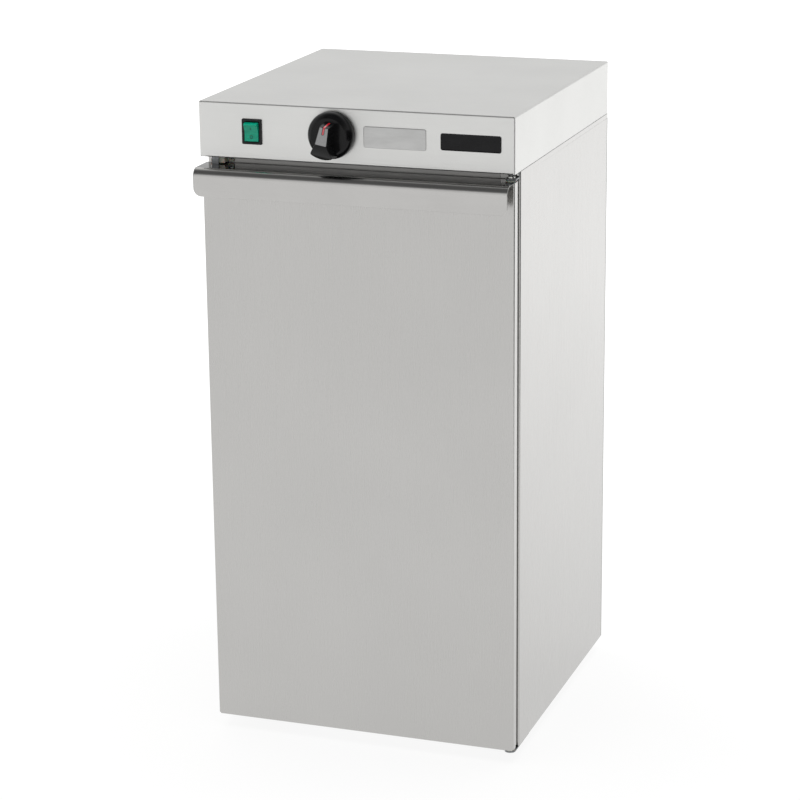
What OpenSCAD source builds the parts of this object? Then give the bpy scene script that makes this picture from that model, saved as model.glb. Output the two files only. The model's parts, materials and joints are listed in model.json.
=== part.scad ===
// Plate warmer cabinet: a tall stainless cabinet with one pivoted door and a capped top that carries
// the controls. Lengths are millimetres. +X is the right-hand side seen from the front, +Y runs back,
// +Z is up, and z = 0 is the surface that the feet stand on. Inside the modules, depths are counted
// from the cover's front face, and home() shifts them so that the origin is under the box's centre.

/* [Cabinet] */
// Width over the side panels and over the cover
cabinet_w = 400; // [390:1:420]
// Depth of the cover, front face to back face
cabinet_d = 422; // [415:1:440]
// Height from the floor to the cover's top face
cabinet_h = 820; // [815:1:840]
// Height of each foot, floor to the underside of the base tray
foot_h = 17; // [16:1:25]
// Thickness of the stainless sheet in the casing and the door
sheet = 1; // [0.8:0.1:1]
// Thickness of the base tray's sheet
tray_t = 1.5; // [1:0.1:1.5]

/* [Top cover] */
// Height of the cover's edge
cover_h = 68.5; // [66:0.5:72]
// How far the cover's front face stands ahead of the body's front
overhang = 24.5; // [24:0.5:26]
// Outside radius of the sheet's bends
bend_r = 2; // [1.5:0.1:2.5]
// Dark line between the cover's lower edge and the side panels
seam = 0.5; // [0.3:0.1:1]

/* [Door] */
// Depth of the door's front face behind the cover's front face
door_v = 3.5; // [3:0.5:4]
// Thickness of the door without its gasket
door_t = 18; // [17:0.5:18]
// Step in from the cabinet's side to the door's edge
door_side = 1.2; // [1:0.1:1.5]
// Finger gap between the cover's underside and the handle's top
handle_gap = 10; // [9.5:0.5:12]
// How far the handle's lip stands ahead of the door's face
handle_reach = 29.5; // [26:0.5:34]
// Height of the handle's lip, with its top bend
lip_h = 34; // [28:1:44]
// Outside radius of the handle's top bend
handle_r = 10; // [6:0.5:12]
// Radius of the lip's lower corners
lip_corner_r = 10; // [4:0.5:12]
// Radius of both hinge pins
hinge_pin_r = 3; // [2.5:0.1:3]
// Distance from the cabinet's side to the hinge pins
hinge_in = 8; // [7.5:0.5:8]

/* [Chamber] */
// Width between the chamber's side walls
chamber_w = 350; // [330:1:356]
// Height of the chamber's floor
chamber_floor = 45; // [45:1:48]
// Height of the chamber's ceiling
chamber_ceiling = 720; // [700:1:722]
// Thickness of the chamber's sheet
liner_t = 0.8; // [0.6:0.1:0.8]
// Height of the perforated guard over the heater
guard_z = 88; // [84:1:95]
// Height of the wire shelf's support
shelf_z = 402; // [380:1:430]

/* [Controls] */
// Distance from the cabinet's middle to the knob, to the right
knob_x = -27; // [-40:1:-20]
// Drop from the cover's top to the knob's centre
knob_drop = 32.5; // [32:0.5:34]
// Diameter of the knob's skirt
knob_d = 57.5; // [50:0.5:58]
// How far the knob stands ahead of the cover
knob_reach = 38; // [36:1:40]
// Turn of the pointer from upright, clockwise
knob_turn = 10; // [0:1:20]
// Distance from the cabinet's middle to the switch, to the right
switch_x = -130.5; // [-140:0.5:-120]
// Drop from the cover's top to the switch's centre
switch_drop = 34.4; // [33:0.1:35]
// Width of the switch's bezel
bezel_w = 25.7; // [25:0.1:27]
// Height of the switch's bezel
bezel_h = 31; // [30:0.1:32]
// How far the rocker is tipped each way from level
rocker_tip = 10; // [8:1:11]

/* [Name plates] */
// Left edge of the silver plate
silver_x = 12.4; // [10:0.1:15]
// Width of the silver plate
silver_w = 78.3; // [70:0.1:80]
// Height of the silver plate
silver_h = 25.6; // [20:0.1:28]
// Drop from the cover's top to the silver plate's top edge
silver_drop = 20.4; // [18:0.1:24]
// Left edge of the black plate
black_x = 108.7; // [105:0.1:112]
// Width of the black plate
black_w = 74.8; // [68:0.1:78]
// Height of the black plate
black_h = 20.3; // [18:0.1:24]
// Drop from the cover's top to the black plate's top edge
black_drop = 23.7; // [20:0.1:26]

/* [Hidden] */
$fn = 48;

// colours of the real finishes
steel = [0.78, 0.78, 0.77];
bright_steel = [0.86, 0.87, 0.88];
dull_steel = [0.62, 0.63, 0.64];
black = [0.06, 0.06, 0.07];
rubber = [0.12, 0.12, 0.12];
wool = [0.80, 0.74, 0.55];
nylon = [0.90, 0.89, 0.84];
red = [0.75, 0.08, 0.08];
green = [0.06, 0.66, 0.52];
brass = [0.78, 0.64, 0.30];

// heights
side_x = cabinet_w / 2;
cover_bottom = cabinet_h - cover_h;
body_top = cover_bottom - seam;
deck_z = body_top - 6;
tray_top = foot_h + tray_t;
knob_z = cabinet_h - knob_drop;
switch_z = cabinet_h - switch_drop;

// depths behind the cover's front face
body_v = overhang;
inner_v = body_v + sheet;
back_v = cabinet_d - sheet;
flange_v = back_v - sheet;
liner_back_v = 396;
gland_reach = 24;
mid_v = (cabinet_d + gland_reach - knob_reach) / 2;

// chamber walls
chamber_x = chamber_w / 2;
liner_x = chamber_x + liner_t;
wall_gap = 0.4;
rear_flange_w = 19;
tray_upstand = 20;
deck_upstand = 19;
rail_flange = 14;

// door
door_x = side_x - door_side;
door_back = door_v + door_t;
door_bottom = foot_h + 1;
door_top = cover_bottom - handle_gap;
skin_top = door_top - sheet;
skin_back = door_v + sheet;
skin_flange = 10;
lip_v = door_v - handle_reach;
lip_bottom = door_top - lip_h;
pan_x = door_x - sheet;
pan_bottom = door_bottom + sheet;
pan_front = door_v + bend_r + 0.5;
hinge_x = side_x - hinge_in;
hinge_v = door_v + door_t / 2;
pin_play = 0.06;
bush_r = 4.5;
bush_flange_r = 6.5;
bush_len = 14;
bracket_t = 2;
bracket_w = 14;
top_bush_flange = 1;
bracket_top_z = door_top + 1.4;

// feet and heater
foot_x = 150;
foot_front_v = 70;
foot_rear_v = 375;
foot_r = 20;
foot_bolt_r = 4;
element_r = 4;
element_z = 62;
element_pitch = 70;
element_front_v = 110;
element_rear_v = 315;
element_end_v = 412;
terminal_x = element_pitch * 1.5;
lead_v = 408;
lead_r = 1.3;

// controls
shaft_r = 3;
shaft_play = 0.06;
shaft_inner_v = 26;
thermo_w = 44;
thermo_h = 36;
thermo_back_v = 33;
thermo_pitch = 28;
capillary_r = 1;
capillary_v = 386;
capillary_z = 772;
bulb_r = 3.5;
bulb_bottom = 625;
bulb_top = 705;
cutout_x = 60;
cutout_v = 200;
gland_x = -110;
gland_z = 785;
gland_bore_r = 4.5;
gland_thread_r = 10;
stud_x = -70;
stud_v = 382;
stud_r = 2.5;
shaft_hole_r = 5;
plate_t = 0.8;
switch_body_w = 21.8;
switch_body_h = 27.8;
switch_depth = 28;
bezel_t = 2;
rocker_w = 17.7;
rocker_r = 11.6;
rocker_play = 0.3;
pivot_v = 0.5;
pivot_r = 1.25;
pivot_play = 0.05;
wire_lane = 756;

// catch
catch_x = -180;
catch_w = 16;
catch_ear = 7;
catch_front_v = 11;
catch_z = [bracket_top_z, body_top - 0.6];
strike_v = 8.5;
strike_t = 1.5;
strike_x = [catch_x - catch_w / 2, catch_x + 1];
magnet_x = [catch_x - catch_w / 2 + 1.5, catch_x - 0.5];
magnet_z = [catch_z[0] + 1.5, catch_z[1] - 1.5];
magnet_back_v = catch_front_v + 9;

// screws
screw_r = 2;
screw_head_r = 3.6;
screw_rows = [60, 280, 500, 720];
cover_screw_xs = [-150, 0, 150];
cover_screw_z = cover_bottom + 8;
panel_screw_x = side_x - 10;
bottom_screw_vs = [42, 60];
bottom_screw_r = 2.5;
hinge_screw_xs = [hinge_x - 4.5, hinge_x + 3.5];
catch_screw_xs = [catch_x - catch_w / 2 - 4, catch_x + catch_w / 2 + 4];
front_screw_z = body_top - 2.9;

// ---------------------------------------------------------------- shared shapes

// [low, high] about a middle, and from a start
function about(middle, length) = [middle - length / 2, middle + length / 2];
function span(start, length) = [start, start + length];

// moves a piece from depths behind the cover's face to the cabinet's own frame
module home() translate([0, -mid_v, 0]) children();

// block between two corners, each given as [low, high] along X, depth and Z
module block(x, v, z)
    translate([x[0], v[0], z[0]]) cube([x[1] - x[0], v[1] - v[0], z[1] - z[0]]);

// cylinder that runs back, from depth v[0] to v[1]
module rod_back(x, v, z, r)
    translate([x, v[0], z]) rotate([-90, 0, 0]) cylinder(h = v[1] - v[0], r = r);

// cylinder that runs up, from height z[0] to z[1]
module rod_up(x, v, z, r)
    translate([x, v, z[0]]) cylinder(h = z[1] - z[0], r = r);

// cylinder that runs to the right, from x[0] to x[1]
module rod_right(x, v, z, r)
    translate([x[0], v, z]) rotate([0, 90, 0]) cylinder(h = x[1] - x[0], r = r);

// draws its children on both sides of the cabinet
module both_sides() {
    children();
    mirror([1, 0, 0]) children();
}

// flat rectangle with round corners, centred
module rounded_rect(w, h, r) {
    square([w, h - 2 * r], center = true);
    square([w - 2 * r, h], center = true);
    for (sx = [-1, 1], sy = [-1, 1])
        translate([sx * (w / 2 - r), sy * (h / 2 - r)]) circle(r);
}

// quarter of a bent sheet: the ring about a bend's centre, in the quadrant that sx and sy name
module bend(centre, outer, t, sx, sy)
    translate(centre) intersection() {
        difference() {
            circle(outer);
            circle(outer - t);
        }
        translate([sx > 0 ? 0 : -outer, sy > 0 ? 0 : -outer]) square(outer);
    }

// flat shape drawn as [depth, height], carried across the cabinet from x[0] to x[1]
module across(x)
    translate([x[0], 0, 0]) rotate([90, 0, 90]) linear_extrude(x[1] - x[0]) children();

// flat shape drawn as [x, height], carried back from v[0] to v[1]
module backwards(v)
    translate([0, v[1], 0]) rotate([90, 0, 0]) linear_extrude(v[1] - v[0]) children();

// block of the cover's form: round along its top edges and its upright edges
module cap_form(w, d, h, r) {
    intersection() {
        translate([0, d / 2, 0]) linear_extrude(h) rounded_rect(w, d, r);
        backwards([0, d]) translate([0, h / 2 - r]) rounded_rect(w, h + 2 * r, r);
        across([-w / 2, w / 2]) translate([d / 2, h / 2 - r]) rounded_rect(d, h + 2 * r, r);
    }
}

// pan-head screw that points back, its head's rear face at depth v
module screw_back(x, v, z, len, r = screw_r, head = screw_head_r) {
    rod_back(x, [v - 2.4, v], z, head);
    rod_back(x, [v, v + len], z, r);
}

// insulated lead along a list of points
module lead(points, r = lead_r) {
    for (i = [0 : len(points) - 2]) {
        a = points[i];
        b = points[i + 1];
        d = b - a;
        long = norm(d);
        translate(a) rotate([0, acos(d[2] / long), atan2(d[1], d[0])]) cylinder(h = long, r = r);
    }
    for (i = [1 : 1 : len(points) - 2]) translate(points[i]) sphere(r);
}

// ---------------------------------------------------------------- casing

module base_tray() color(steel) home() difference() {
    union() {
        block(about(0, 2 * (side_x - sheet)), [body_v, back_v], [foot_h, tray_top]);
        both_sides()
            block(span(side_x - 2 * sheet, sheet), [inner_v, flange_v], span(tray_top, tray_upstand));
    }
    for (x = [-foot_x, foot_x], v = [foot_front_v, foot_rear_v])
        rod_up(x, v, [foot_h - 1, tray_top + 1], foot_bolt_r);
    for (v = bottom_screw_vs) rod_up(hinge_x, v, [foot_h - 1, tray_top + 1], bottom_screw_r);
}

// side panel with the front flange that frames the door opening and the rear flange for the back;
// holes lists the places of the screws near the top of its front flange
module side_panel(holes) difference() {
    union() {
        block([side_x - sheet, side_x], [body_v, back_v], [foot_h, body_top]);
        block([chamber_x, side_x - sheet], [body_v, inner_v], [tray_top, body_top]);
        block([side_x - rear_flange_w, side_x - sheet], [flange_v, back_v], [tray_top, deck_z]);
    }
    for (z = screw_rows) rod_back(panel_screw_x, [flange_v - 1, back_v + 1], z, screw_r);
    for (x = holes) rod_back(x, [body_v - 1, inner_v + 1], front_screw_z, screw_r);
}

module side_panel_right() color(steel) home() side_panel(hinge_screw_xs);

module side_panel_left() color(steel) home() mirror([1, 0, 0]) side_panel([-catch_screw_xs[0]]);

module back_panel() color(steel) home() difference() {
    block([-side_x, side_x], [back_v, cabinet_d], [foot_h, body_top]);
    for (z = screw_rows, side = [-1, 1])
        rod_back(side * panel_screw_x, [back_v - 1, cabinet_d + 1], z, screw_r);
}

module front_rail_top() color(steel) home() difference() {
    union() {
        block(about(0, chamber_w), [body_v, inner_v], [chamber_ceiling, body_top]);
        block(about(0, chamber_w), span(inner_v, rail_flange), span(chamber_ceiling + liner_t, sheet));
    }
    rod_back(catch_screw_xs[1], [body_v - 1, inner_v + 1], front_screw_z, screw_r);
}

module front_rail_bottom() color(steel) home() {
    block(about(0, chamber_w), [body_v, inner_v], [tray_top, chamber_floor]);
    block(about(0, chamber_w), span(inner_v, rail_flange), span(tray_top, sheet));
}

// plate over the insulation, with an upstand that the cover drops over on three sides
module top_deck() color(dull_steel) home() difference() {
    union() {
        block(about(0, 2 * (side_x - sheet)), [inner_v, flange_v], span(deck_z, sheet));
        both_sides()
            block(span(side_x - 2 * sheet, sheet), [inner_v, flange_v - sheet], span(deck_z, deck_upstand));
        block(about(0, 2 * (side_x - 2 * sheet)), [flange_v, back_v], span(deck_z, deck_upstand));
    }
    rod_up(knob_x, capillary_v, [deck_z - 1, deck_z + 2], capillary_r + 1);
    for (side = [-1, 1]) rod_up(side * terminal_x, lead_v, [deck_z - 1, deck_z + 2], lead_r + 1);
    for (x = cover_screw_xs) rod_back(x, [flange_v - 1, back_v + 1], cover_screw_z, screw_r);
    rod_up(stud_x, stud_v, [deck_z - 1, deck_z + 2], stud_r);
}

cover_return = 40;

module top_cover() color(steel) home() difference() {
    union() {
        difference() {
            translate([0, 0, cover_bottom]) cap_form(cabinet_w, cabinet_d, cover_h, bend_r);
            translate([0, sheet, cover_bottom - 1])
                cap_form(cabinet_w - 2 * sheet, cabinet_d - 2 * sheet, cover_h + 1 - sheet, bend_r - sheet);
        }
        // return flange under the overhanging front edge
        block(about(0, 2 * (side_x - 2 * sheet)), [sheet / 2, cover_return], span(cover_bottom, sheet));
    }
    rod_back(knob_x, [-1, sheet + 1], knob_z, shaft_hole_r);
    for (s = [-1, 1]) rod_back(knob_x + s * thermo_pitch / 2, [-1, sheet + 1], knob_z, screw_r);
    block(about(switch_x, switch_body_w), [-1, sheet + 1], about(switch_z, switch_body_h));
    rod_back(gland_x, [back_v - 1, cabinet_d + 1], gland_z, gland_thread_r);
    for (x = cover_screw_xs) rod_back(x, [back_v - 1, cabinet_d + 1], cover_screw_z, screw_r);
}

// screws of the back panel and of the cover's back edge
module panel_screws() color(bright_steel) home() {
    spots = concat(
        [for (z = screw_rows, side = [-1, 1]) [side * panel_screw_x, z]],
        [for (x = cover_screw_xs) [x, cover_screw_z]]
    );
    for (p = spots) {
        rod_back(p[0], [cabinet_d, cabinet_d + 2.4], p[1], screw_head_r);
        rod_back(p[0], [cabinet_d - 8, cabinet_d], p[1], screw_r);
    }
}

// ---------------------------------------------------------------- chamber

liner_z = [chamber_floor - liner_t, chamber_ceiling + liner_t];

module liner_side() color(steel)
    block([chamber_x, liner_x], [inner_v, liner_back_v + liner_t], liner_z);

module liner_right() home() liner_side();

module liner_left() home() mirror([1, 0, 0]) liner_side();

module liner_back() color(steel) home() difference() {
    block(about(0, chamber_w), span(liner_back_v, liner_t), liner_z);
    for (side = [-1, 1])
        rod_back(side * terminal_x, [liner_back_v - 1, liner_back_v + 2], element_z, element_r);
}

module liner_ceiling() color(steel) home() difference() {
    block(about(0, chamber_w), [inner_v, liner_back_v], span(chamber_ceiling, liner_t));
    rod_up(knob_x, capillary_v, [chamber_ceiling - 1, chamber_ceiling + 2], capillary_r + 1);
}

module liner_floor() color(steel) home()
    block(about(0, chamber_w), [inner_v, liner_back_v], [chamber_floor - liner_t, chamber_floor]);

module insulation_side() color(wool)
    block(
        [liner_x + wall_gap, side_x - 2 * sheet - 0.5], [inner_v + 1.5, liner_back_v],
        [tray_top + 12, deck_z - 0.5]
    );

module insulation_right() home() insulation_side();

module insulation_left() home() mirror([1, 0, 0]) insulation_side();

// slab behind the chamber, with a channel for each lead to the element
module insulation_back() color(wool) home() difference() {
    block(
        about(0, chamber_w), [liner_back_v + liner_t + wall_gap, flange_v - 0.5],
        [tray_top + 1.5, deck_z - 0.5]
    );
    for (side = [-1, 1])
        block(about(side * terminal_x, 12), [liner_back_v, element_end_v + 3], [element_z - 10, deck_z]);
}

module insulation_top() color(wool) home() difference() {
    block(
        about(0, chamber_w - 2 * wall_gap), [inner_v + rail_flange + 1, liner_back_v - 1],
        [chamber_ceiling + liner_t, deck_z - 0.5]
    );
    rod_up(cutout_x, cutout_v, [chamber_ceiling, deck_z], 16);
    rod_up(knob_x, capillary_v, [chamber_ceiling, deck_z], capillary_r + 2);
}

module insulation_bottom() color(wool) home() difference() {
    block(
        about(0, chamber_w - 2), [inner_v + rail_flange + 1, liner_back_v - 1],
        [tray_top + 0.5, chamber_floor - liner_t]
    );
    for (x = [-foot_x, foot_x], v = [foot_front_v, foot_rear_v])
        rod_up(x, v, [tray_top, chamber_floor], 12);
}

runner_w = 12;
runner_t = 1.2;
runner_zs = [guard_z - runner_t, 245, shelf_z - runner_t, 560];

// angle strips that the guard and the shelf lie on, with two spare places for the shelf
module runners() color(bright_steel)
    for (z = runner_zs) {
        block([chamber_x - runner_w, chamber_x], [inner_v + 12, liner_back_v - 12], [z, z + runner_t]);
        block([chamber_x - runner_t, chamber_x], [inner_v + 12, liner_back_v - 12], [z - runner_w, z]);
    }

module runners_right() home() runners();

module runners_left() home() mirror([1, 0, 0]) runners();

shelf_rim_r = 3;
shelf_bar_r = 1.5;
shelf_x = chamber_x - 3;
shelf_v = [inner_v + 10, liner_back_v - 14];
shelf_bars = 17;

// welded wire shelf: a round rim, two cross rods and the bars that lie on them
module wire_shelf() color(bright_steel) home() {
    rim_z = shelf_z + shelf_rim_r;
    bar_z = rim_z + shelf_rim_r;
    low_v = shelf_v[0] + shelf_rim_r;
    high_v = shelf_v[1] - shelf_rim_r;
    edge_x = shelf_x - shelf_rim_r;
    for (x = [-edge_x, edge_x]) rod_back(x, [low_v, high_v], rim_z, shelf_rim_r);
    for (v = [low_v, high_v]) rod_right([-edge_x, edge_x], v, rim_z, shelf_rim_r);
    for (x = [-edge_x, edge_x], v = [low_v, high_v]) translate([x, v, rim_z]) sphere(shelf_rim_r);
    for (v = [low_v + (high_v - low_v) / 3, high_v - (high_v - low_v) / 3])
        rod_right([-edge_x, edge_x], v, rim_z, shelf_rim_r - 0.5);
    for (i = [1 : shelf_bars]) {
        x = -edge_x + 2 * edge_x * i / (shelf_bars + 1);
        rod_back(x, [low_v - 2, high_v + 2], bar_z, shelf_bar_r);
    }
}

guard_pitch = 36;
guard_hole_r = 7;
guard_v = [inner_v + 8, liner_back_v - 10];
guard_lip = [guard_z - 18, guard_z];

// perforated tray over the heater, which the lower stack of plates stands on
module heater_guard() color(steel) home() difference() {
    union() {
        block(about(0, chamber_w - 4), guard_v, span(guard_z, sheet));
        for (v = [guard_v[0], guard_v[1] - sheet]) block(about(0, chamber_w - 28), span(v, sheet), guard_lip);
    }
    for (i = [-4 : 4], j = [-4 : 4])
        rod_up(i * guard_pitch, 210 + j * guard_pitch, [guard_z - 1, guard_z + 2], guard_hole_r);
}

// tubular element bent into four legs, its ends through the rear wall
module heating_element() color(dull_steel) home() {
    for (side = [-1, 1]) {
        rod_back(side * terminal_x, [element_front_v, element_end_v], element_z, element_r);
        rod_back(side * element_pitch / 2, [element_front_v, element_rear_v], element_z, element_r);
        translate([side * element_pitch, element_front_v, element_z])
            rotate([0, 0, 180]) rotate_extrude(angle = 180)
                translate([element_pitch / 2, 0]) circle(element_r);
    }
    translate([0, element_rear_v, element_z])
        rotate_extrude(angle = 180) translate([element_pitch / 2, 0]) circle(element_r);
}

bracket_vs = [130, 290];

// two saddle strips that hold the element off the floor
module element_brackets() color(bright_steel) home()
    for (v = bracket_vs) difference() {
        union() {
            block([-130, 130], [v, v + 12], [chamber_floor, chamber_floor + 1.2]);
            block([-130, 130], [v, v + 1.2], [chamber_floor, element_z]);
        }
        for (leg = [-1.5, -0.5, 0.5, 1.5])
            rod_back(leg * element_pitch, [v - 1, v + 2], element_z, element_r);
    }

module capillary_bulb() color(brass) home() {
    lead(
        [
            [knob_x, thermo_back_v, capillary_z], [knob_x, capillary_v, capillary_z],
            [knob_x, capillary_v, bulb_top]
        ],
        capillary_r
    );
    rod_up(knob_x, capillary_v, [bulb_bottom, bulb_top], bulb_r);
}

// ring that clips the bulb to the rear wall
module bulb_clip() color(bright_steel) home() difference() {
    union() {
        rod_up(knob_x, capillary_v, [660, 672], bulb_r + 1.2);
        block([knob_x - 3, knob_x + 3], [capillary_v + bulb_r, liner_back_v], [660, 672]);
    }
    rod_up(knob_x, capillary_v, [659, 673], bulb_r);
}

// disc thermostat on the ceiling that cuts the heater off if the chamber overheats
module safety_cutout() color(black) home() {
    base_z = chamber_ceiling + liner_t;
    rod_up(cutout_x, cutout_v, [base_z, base_z + 3], 12);
    rod_up(cutout_x, cutout_v, [base_z + 3, base_z + 12], 8);
    for (side = [-1, 1])
        block(about(cutout_x + side * 4, 0.8), about(cutout_v, 6), span(base_z + 12, 8));
}

// ---------------------------------------------------------------- electrics

// body of the capillary thermostat, with the neck that its shaft turns in
module thermostat_body() color(dull_steel) home() difference() {
    union() {
        block(about(knob_x, thermo_w), [sheet, thermo_back_v], about(knob_z, thermo_h));
        rod_back(knob_x, [-4, sheet + 1], knob_z, 4.8);
    }
    rod_back(knob_x, [-5, shaft_inner_v], knob_z, shaft_r + shaft_play);
    for (s = [-1, 1]) rod_back(knob_x + s * thermo_pitch / 2, [0, 7], knob_z, screw_r);
}

module thermostat_screws() color(bright_steel) home()
    for (s = [-1, 1]) screw_back(knob_x + s * thermo_pitch / 2, 0, knob_z, 7);

module terminal_block() color(nylon) home() difference() {
    block([-130, -90], [370, 394], [deck_z + sheet, wire_lane + 8]);
    for (i = [0 : 2]) rod_up(-124 + 14 * i, 382, [wire_lane + 3, wire_lane + 9], 3);
}

// threaded stud with its nut, for the protective earth
module earth_stud() color(brass) home() {
    rod_up(stud_x, stud_v, [deck_z, deck_z + 8], stud_r);
    translate([stud_x, stud_v, deck_z + sheet]) difference() {
        cylinder(h = 4, r = 4.6, $fn = 6);
        translate([0, 0, -1]) cylinder(h = 6, r = stud_r);
    }
}

// leads between the terminal block, the switch, the thermostat and the element
module wiring() color(red) home() {
    blade_v = switch_depth + 8;
    upper = switch_z + 5;
    lower = switch_z - 7;
    near_x = switch_x + 6.5;
    far_x = switch_x - 6.5;
    element_top = element_z + element_r + 0.2;
    lead([
        [near_x, 370, wire_lane], [near_x, 50, wire_lane], [near_x, 50, upper], [near_x, blade_v, upper]
    ]);
    lead([
        [-110, 370, wire_lane], [-110, 64, wire_lane], [-110, 64, wire_lane + 14],
        [far_x, 64, wire_lane + 14], [far_x, 64, upper], [far_x, blade_v, upper]
    ]);
    lead([
        [near_x, blade_v, lower], [near_x, 42, lower], [-70, 42, lower], [-70, 24, lower],
        [knob_x - thermo_w / 2, 24, lower]
    ]);
    lead([
        [knob_x + thermo_w / 2, 24, lower], [20, 24, lower], [20, 60, lower], [20, 60, wire_lane],
        [20, lead_v, wire_lane], [terminal_x, lead_v, wire_lane], [terminal_x, lead_v, element_top]
    ]);
    lead([
        [-terminal_x, lead_v, element_top], [-terminal_x, lead_v, wire_lane],
        [-96, lead_v, wire_lane], [-96, 394, wire_lane]
    ]);
    lead([[-90, stud_v, wire_lane - 1], [stud_x, stud_v, wire_lane - 1], [stud_x, stud_v, deck_z + 8]]);
}

module cable_gland() color(rubber) home() difference() {
    union() {
        rod_back(gland_x, [cabinet_d - 10, cabinet_d], gland_z, gland_thread_r);
        translate([gland_x, cabinet_d, gland_z]) rotate([-90, 0, 0]) cylinder(h = 6, r = 13.5, $fn = 6);
        rod_back(gland_x, [cabinet_d + 6, cabinet_d + 18], gland_z, 11.5);
        translate([gland_x, cabinet_d + 18, gland_z])
            rotate([-90, 0, 0]) cylinder(h = gland_reach - 18, r1 = 11.5, r2 = 8.5);
    }
    rod_back(gland_x, [cabinet_d - 11, cabinet_d + gland_reach + 1], gland_z, gland_bore_r);
}

module gland_nut() color(rubber) home()
    translate([gland_x, back_v - 5, gland_z]) rotate([-90, 0, 0]) difference() {
        cylinder(h = 5, r = 14, $fn = 6);
        translate([0, 0, -1]) cylinder(h = 7, r = gland_thread_r);
    }

// snap-in housing of the rocker switch: bezel, body, pivot bores and four blades
module switch_housing() color(black) home() difference() {
    union() {
        translate([switch_x, 0, switch_z]) backwards([-bezel_t, 0]) rounded_rect(bezel_w, bezel_h, 1.5);
        block(about(switch_x, switch_body_w), [0, switch_depth], about(switch_z, switch_body_h));
        for (dx = [-6.5, 6.5], dz = [-7, 5])
            block(about(switch_x + dx, 4.8), span(switch_depth, 8), about(switch_z + dz, 0.8));
    }
    block(
        about(switch_x, rocker_w + 2 * rocker_play), [-bezel_t - 1, 10],
        about(switch_z, 2 * (rocker_r + rocker_play))
    );
    rod_right(about(switch_x, rocker_w + 3.2), pivot_v, switch_z, pivot_r + pivot_play);
}

// rocker at rest: off, its upper end standing out
module rocker() color(green) home()
    translate([switch_x, pivot_v, switch_z]) rotate([rocker_tip, 0, 0]) {
        across([-rocker_w / 2, rocker_w / 2]) intersection() {
            polygon([
                [-5.6, rocker_r], [-5.4, 8.6], [-3.4, 0], [-5.4, -8.6], [-5.6, -rocker_r], [1, -rocker_r],
                [6, -6], [6, 6], [1, rocker_r]
            ]);
            circle(rocker_r);
        }
        rod_right(about(0, rocker_w + 2.6), 0, 0, pivot_r);
    }

module plate(x, w, h, drop)
    translate([x + w / 2, 0, cabinet_h - drop - h / 2]) backwards([-plate_t, 0]) rounded_rect(w, h, 2.5);

module silver_plate() color(bright_steel) home() plate(silver_x, silver_w, silver_h, silver_drop);

module black_plate() color(black) home() plate(black_x, black_w, black_h, black_drop);

// ---------------------------------------------------------------- knob

skirt_r = knob_d / 2;
knob_back = -1;
// the skirt's side is an arc of an ellipse with these half axes, from the back's rim to the flat disc
skirt_round = 12.9;
skirt_deep = 16.7;
skirt_arc = 60;
disc_r = skirt_r - skirt_round * (1 - cos(skirt_arc));
disc_front = knob_back - skirt_deep * sin(skirt_arc);
hub_r = 7;
cavity_front = -9;
shaft_front = -24;
grip_r = 26.5;
pointer_w = 2.4;
pointer_low = 5.8;
pointer_floor = -34;
pointer_end = -17;

// hand grip seen from the front, upright: narrow at the pointer, flared at the other end
module grip_plan()
    intersection() {
        polygon([
            [-6, 15], [-5.8, 20], [5.8, 20], [6, 15], [7.8, -6.5], [14.4, -20], [14.6, -27], [-14.6, -27],
            [-14.4, -20], [-7.8, -6.5]
        ]);
        circle(grip_r);
    }

// hand grip seen from its side, as [depth, height along the grip]
module grip_side()
    polygon([
        [disc_front + 2, 20], [disc_front, 18], [-20.3, 17.1], [-knob_reach + 3.3, 15],
        [-knob_reach + 2.9, 14.3], [-knob_reach, -6.5], [-knob_reach + 0.8, -9.5], [-knob_reach + 4, -16],
        [-knob_reach + 8.5, -22], [-knob_reach + 13, -26], [-knob_reach + 14, -27], [disc_front + 2, -27]
    ]);

// groove of the pointer: down the grip's face, and over its upper end to the disc
module pointer_groove() {
    across_groove = about(0, pointer_w);
    face_low = pointer_low + pointer_w / 2;
    block(across_groove, [-knob_reach - 1, pointer_floor], [face_low, 20]);
    rod_back(0, [-knob_reach - 1, pointer_floor], face_low, pointer_w / 2);
    block(across_groove, [pointer_floor - 1, pointer_end], [14, 20]);
}

module knob_turned() translate([knob_x, 0, knob_z]) rotate([0, knob_turn, 0]) children();

module knob() color(black) home() knob_turned() difference() {
    union() {
        rotate([90, 0, 0]) rotate_extrude()
            polygon([
                [0, -knob_back],
                for (a = [0:10:skirt_arc])
                    [skirt_r - skirt_round * (1 - cos(a)), -knob_back + skirt_deep * sin(a)],
                [0, -disc_front]
            ]);
        intersection() {
            backwards([-knob_reach - 1, disc_front + 2]) grip_plan();
            across([-20, 20]) grip_side();
        }
    }
    // hollow behind the skirt, round the hub
    difference() {
        rod_back(0, [cavity_front, 0], 0, skirt_r - 3);
        rod_back(0, [cavity_front - 1, -4.5], 0, hub_r);
    }
    rod_back(0, [shaft_front, 0], 0, shaft_r);
    pointer_groove();
}

// red line let into the grip's face and its upper end
module knob_pointer() color(red) home() knob_turned()
    intersection() {
        pointer_groove();
        across([-2, 2]) grip_side();
    }

module thermostat_shaft() color(bright_steel) home()
    rod_back(knob_x, [shaft_front, shaft_inner_v - 1], knob_z, shaft_r);

// ---------------------------------------------------------------- door

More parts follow.
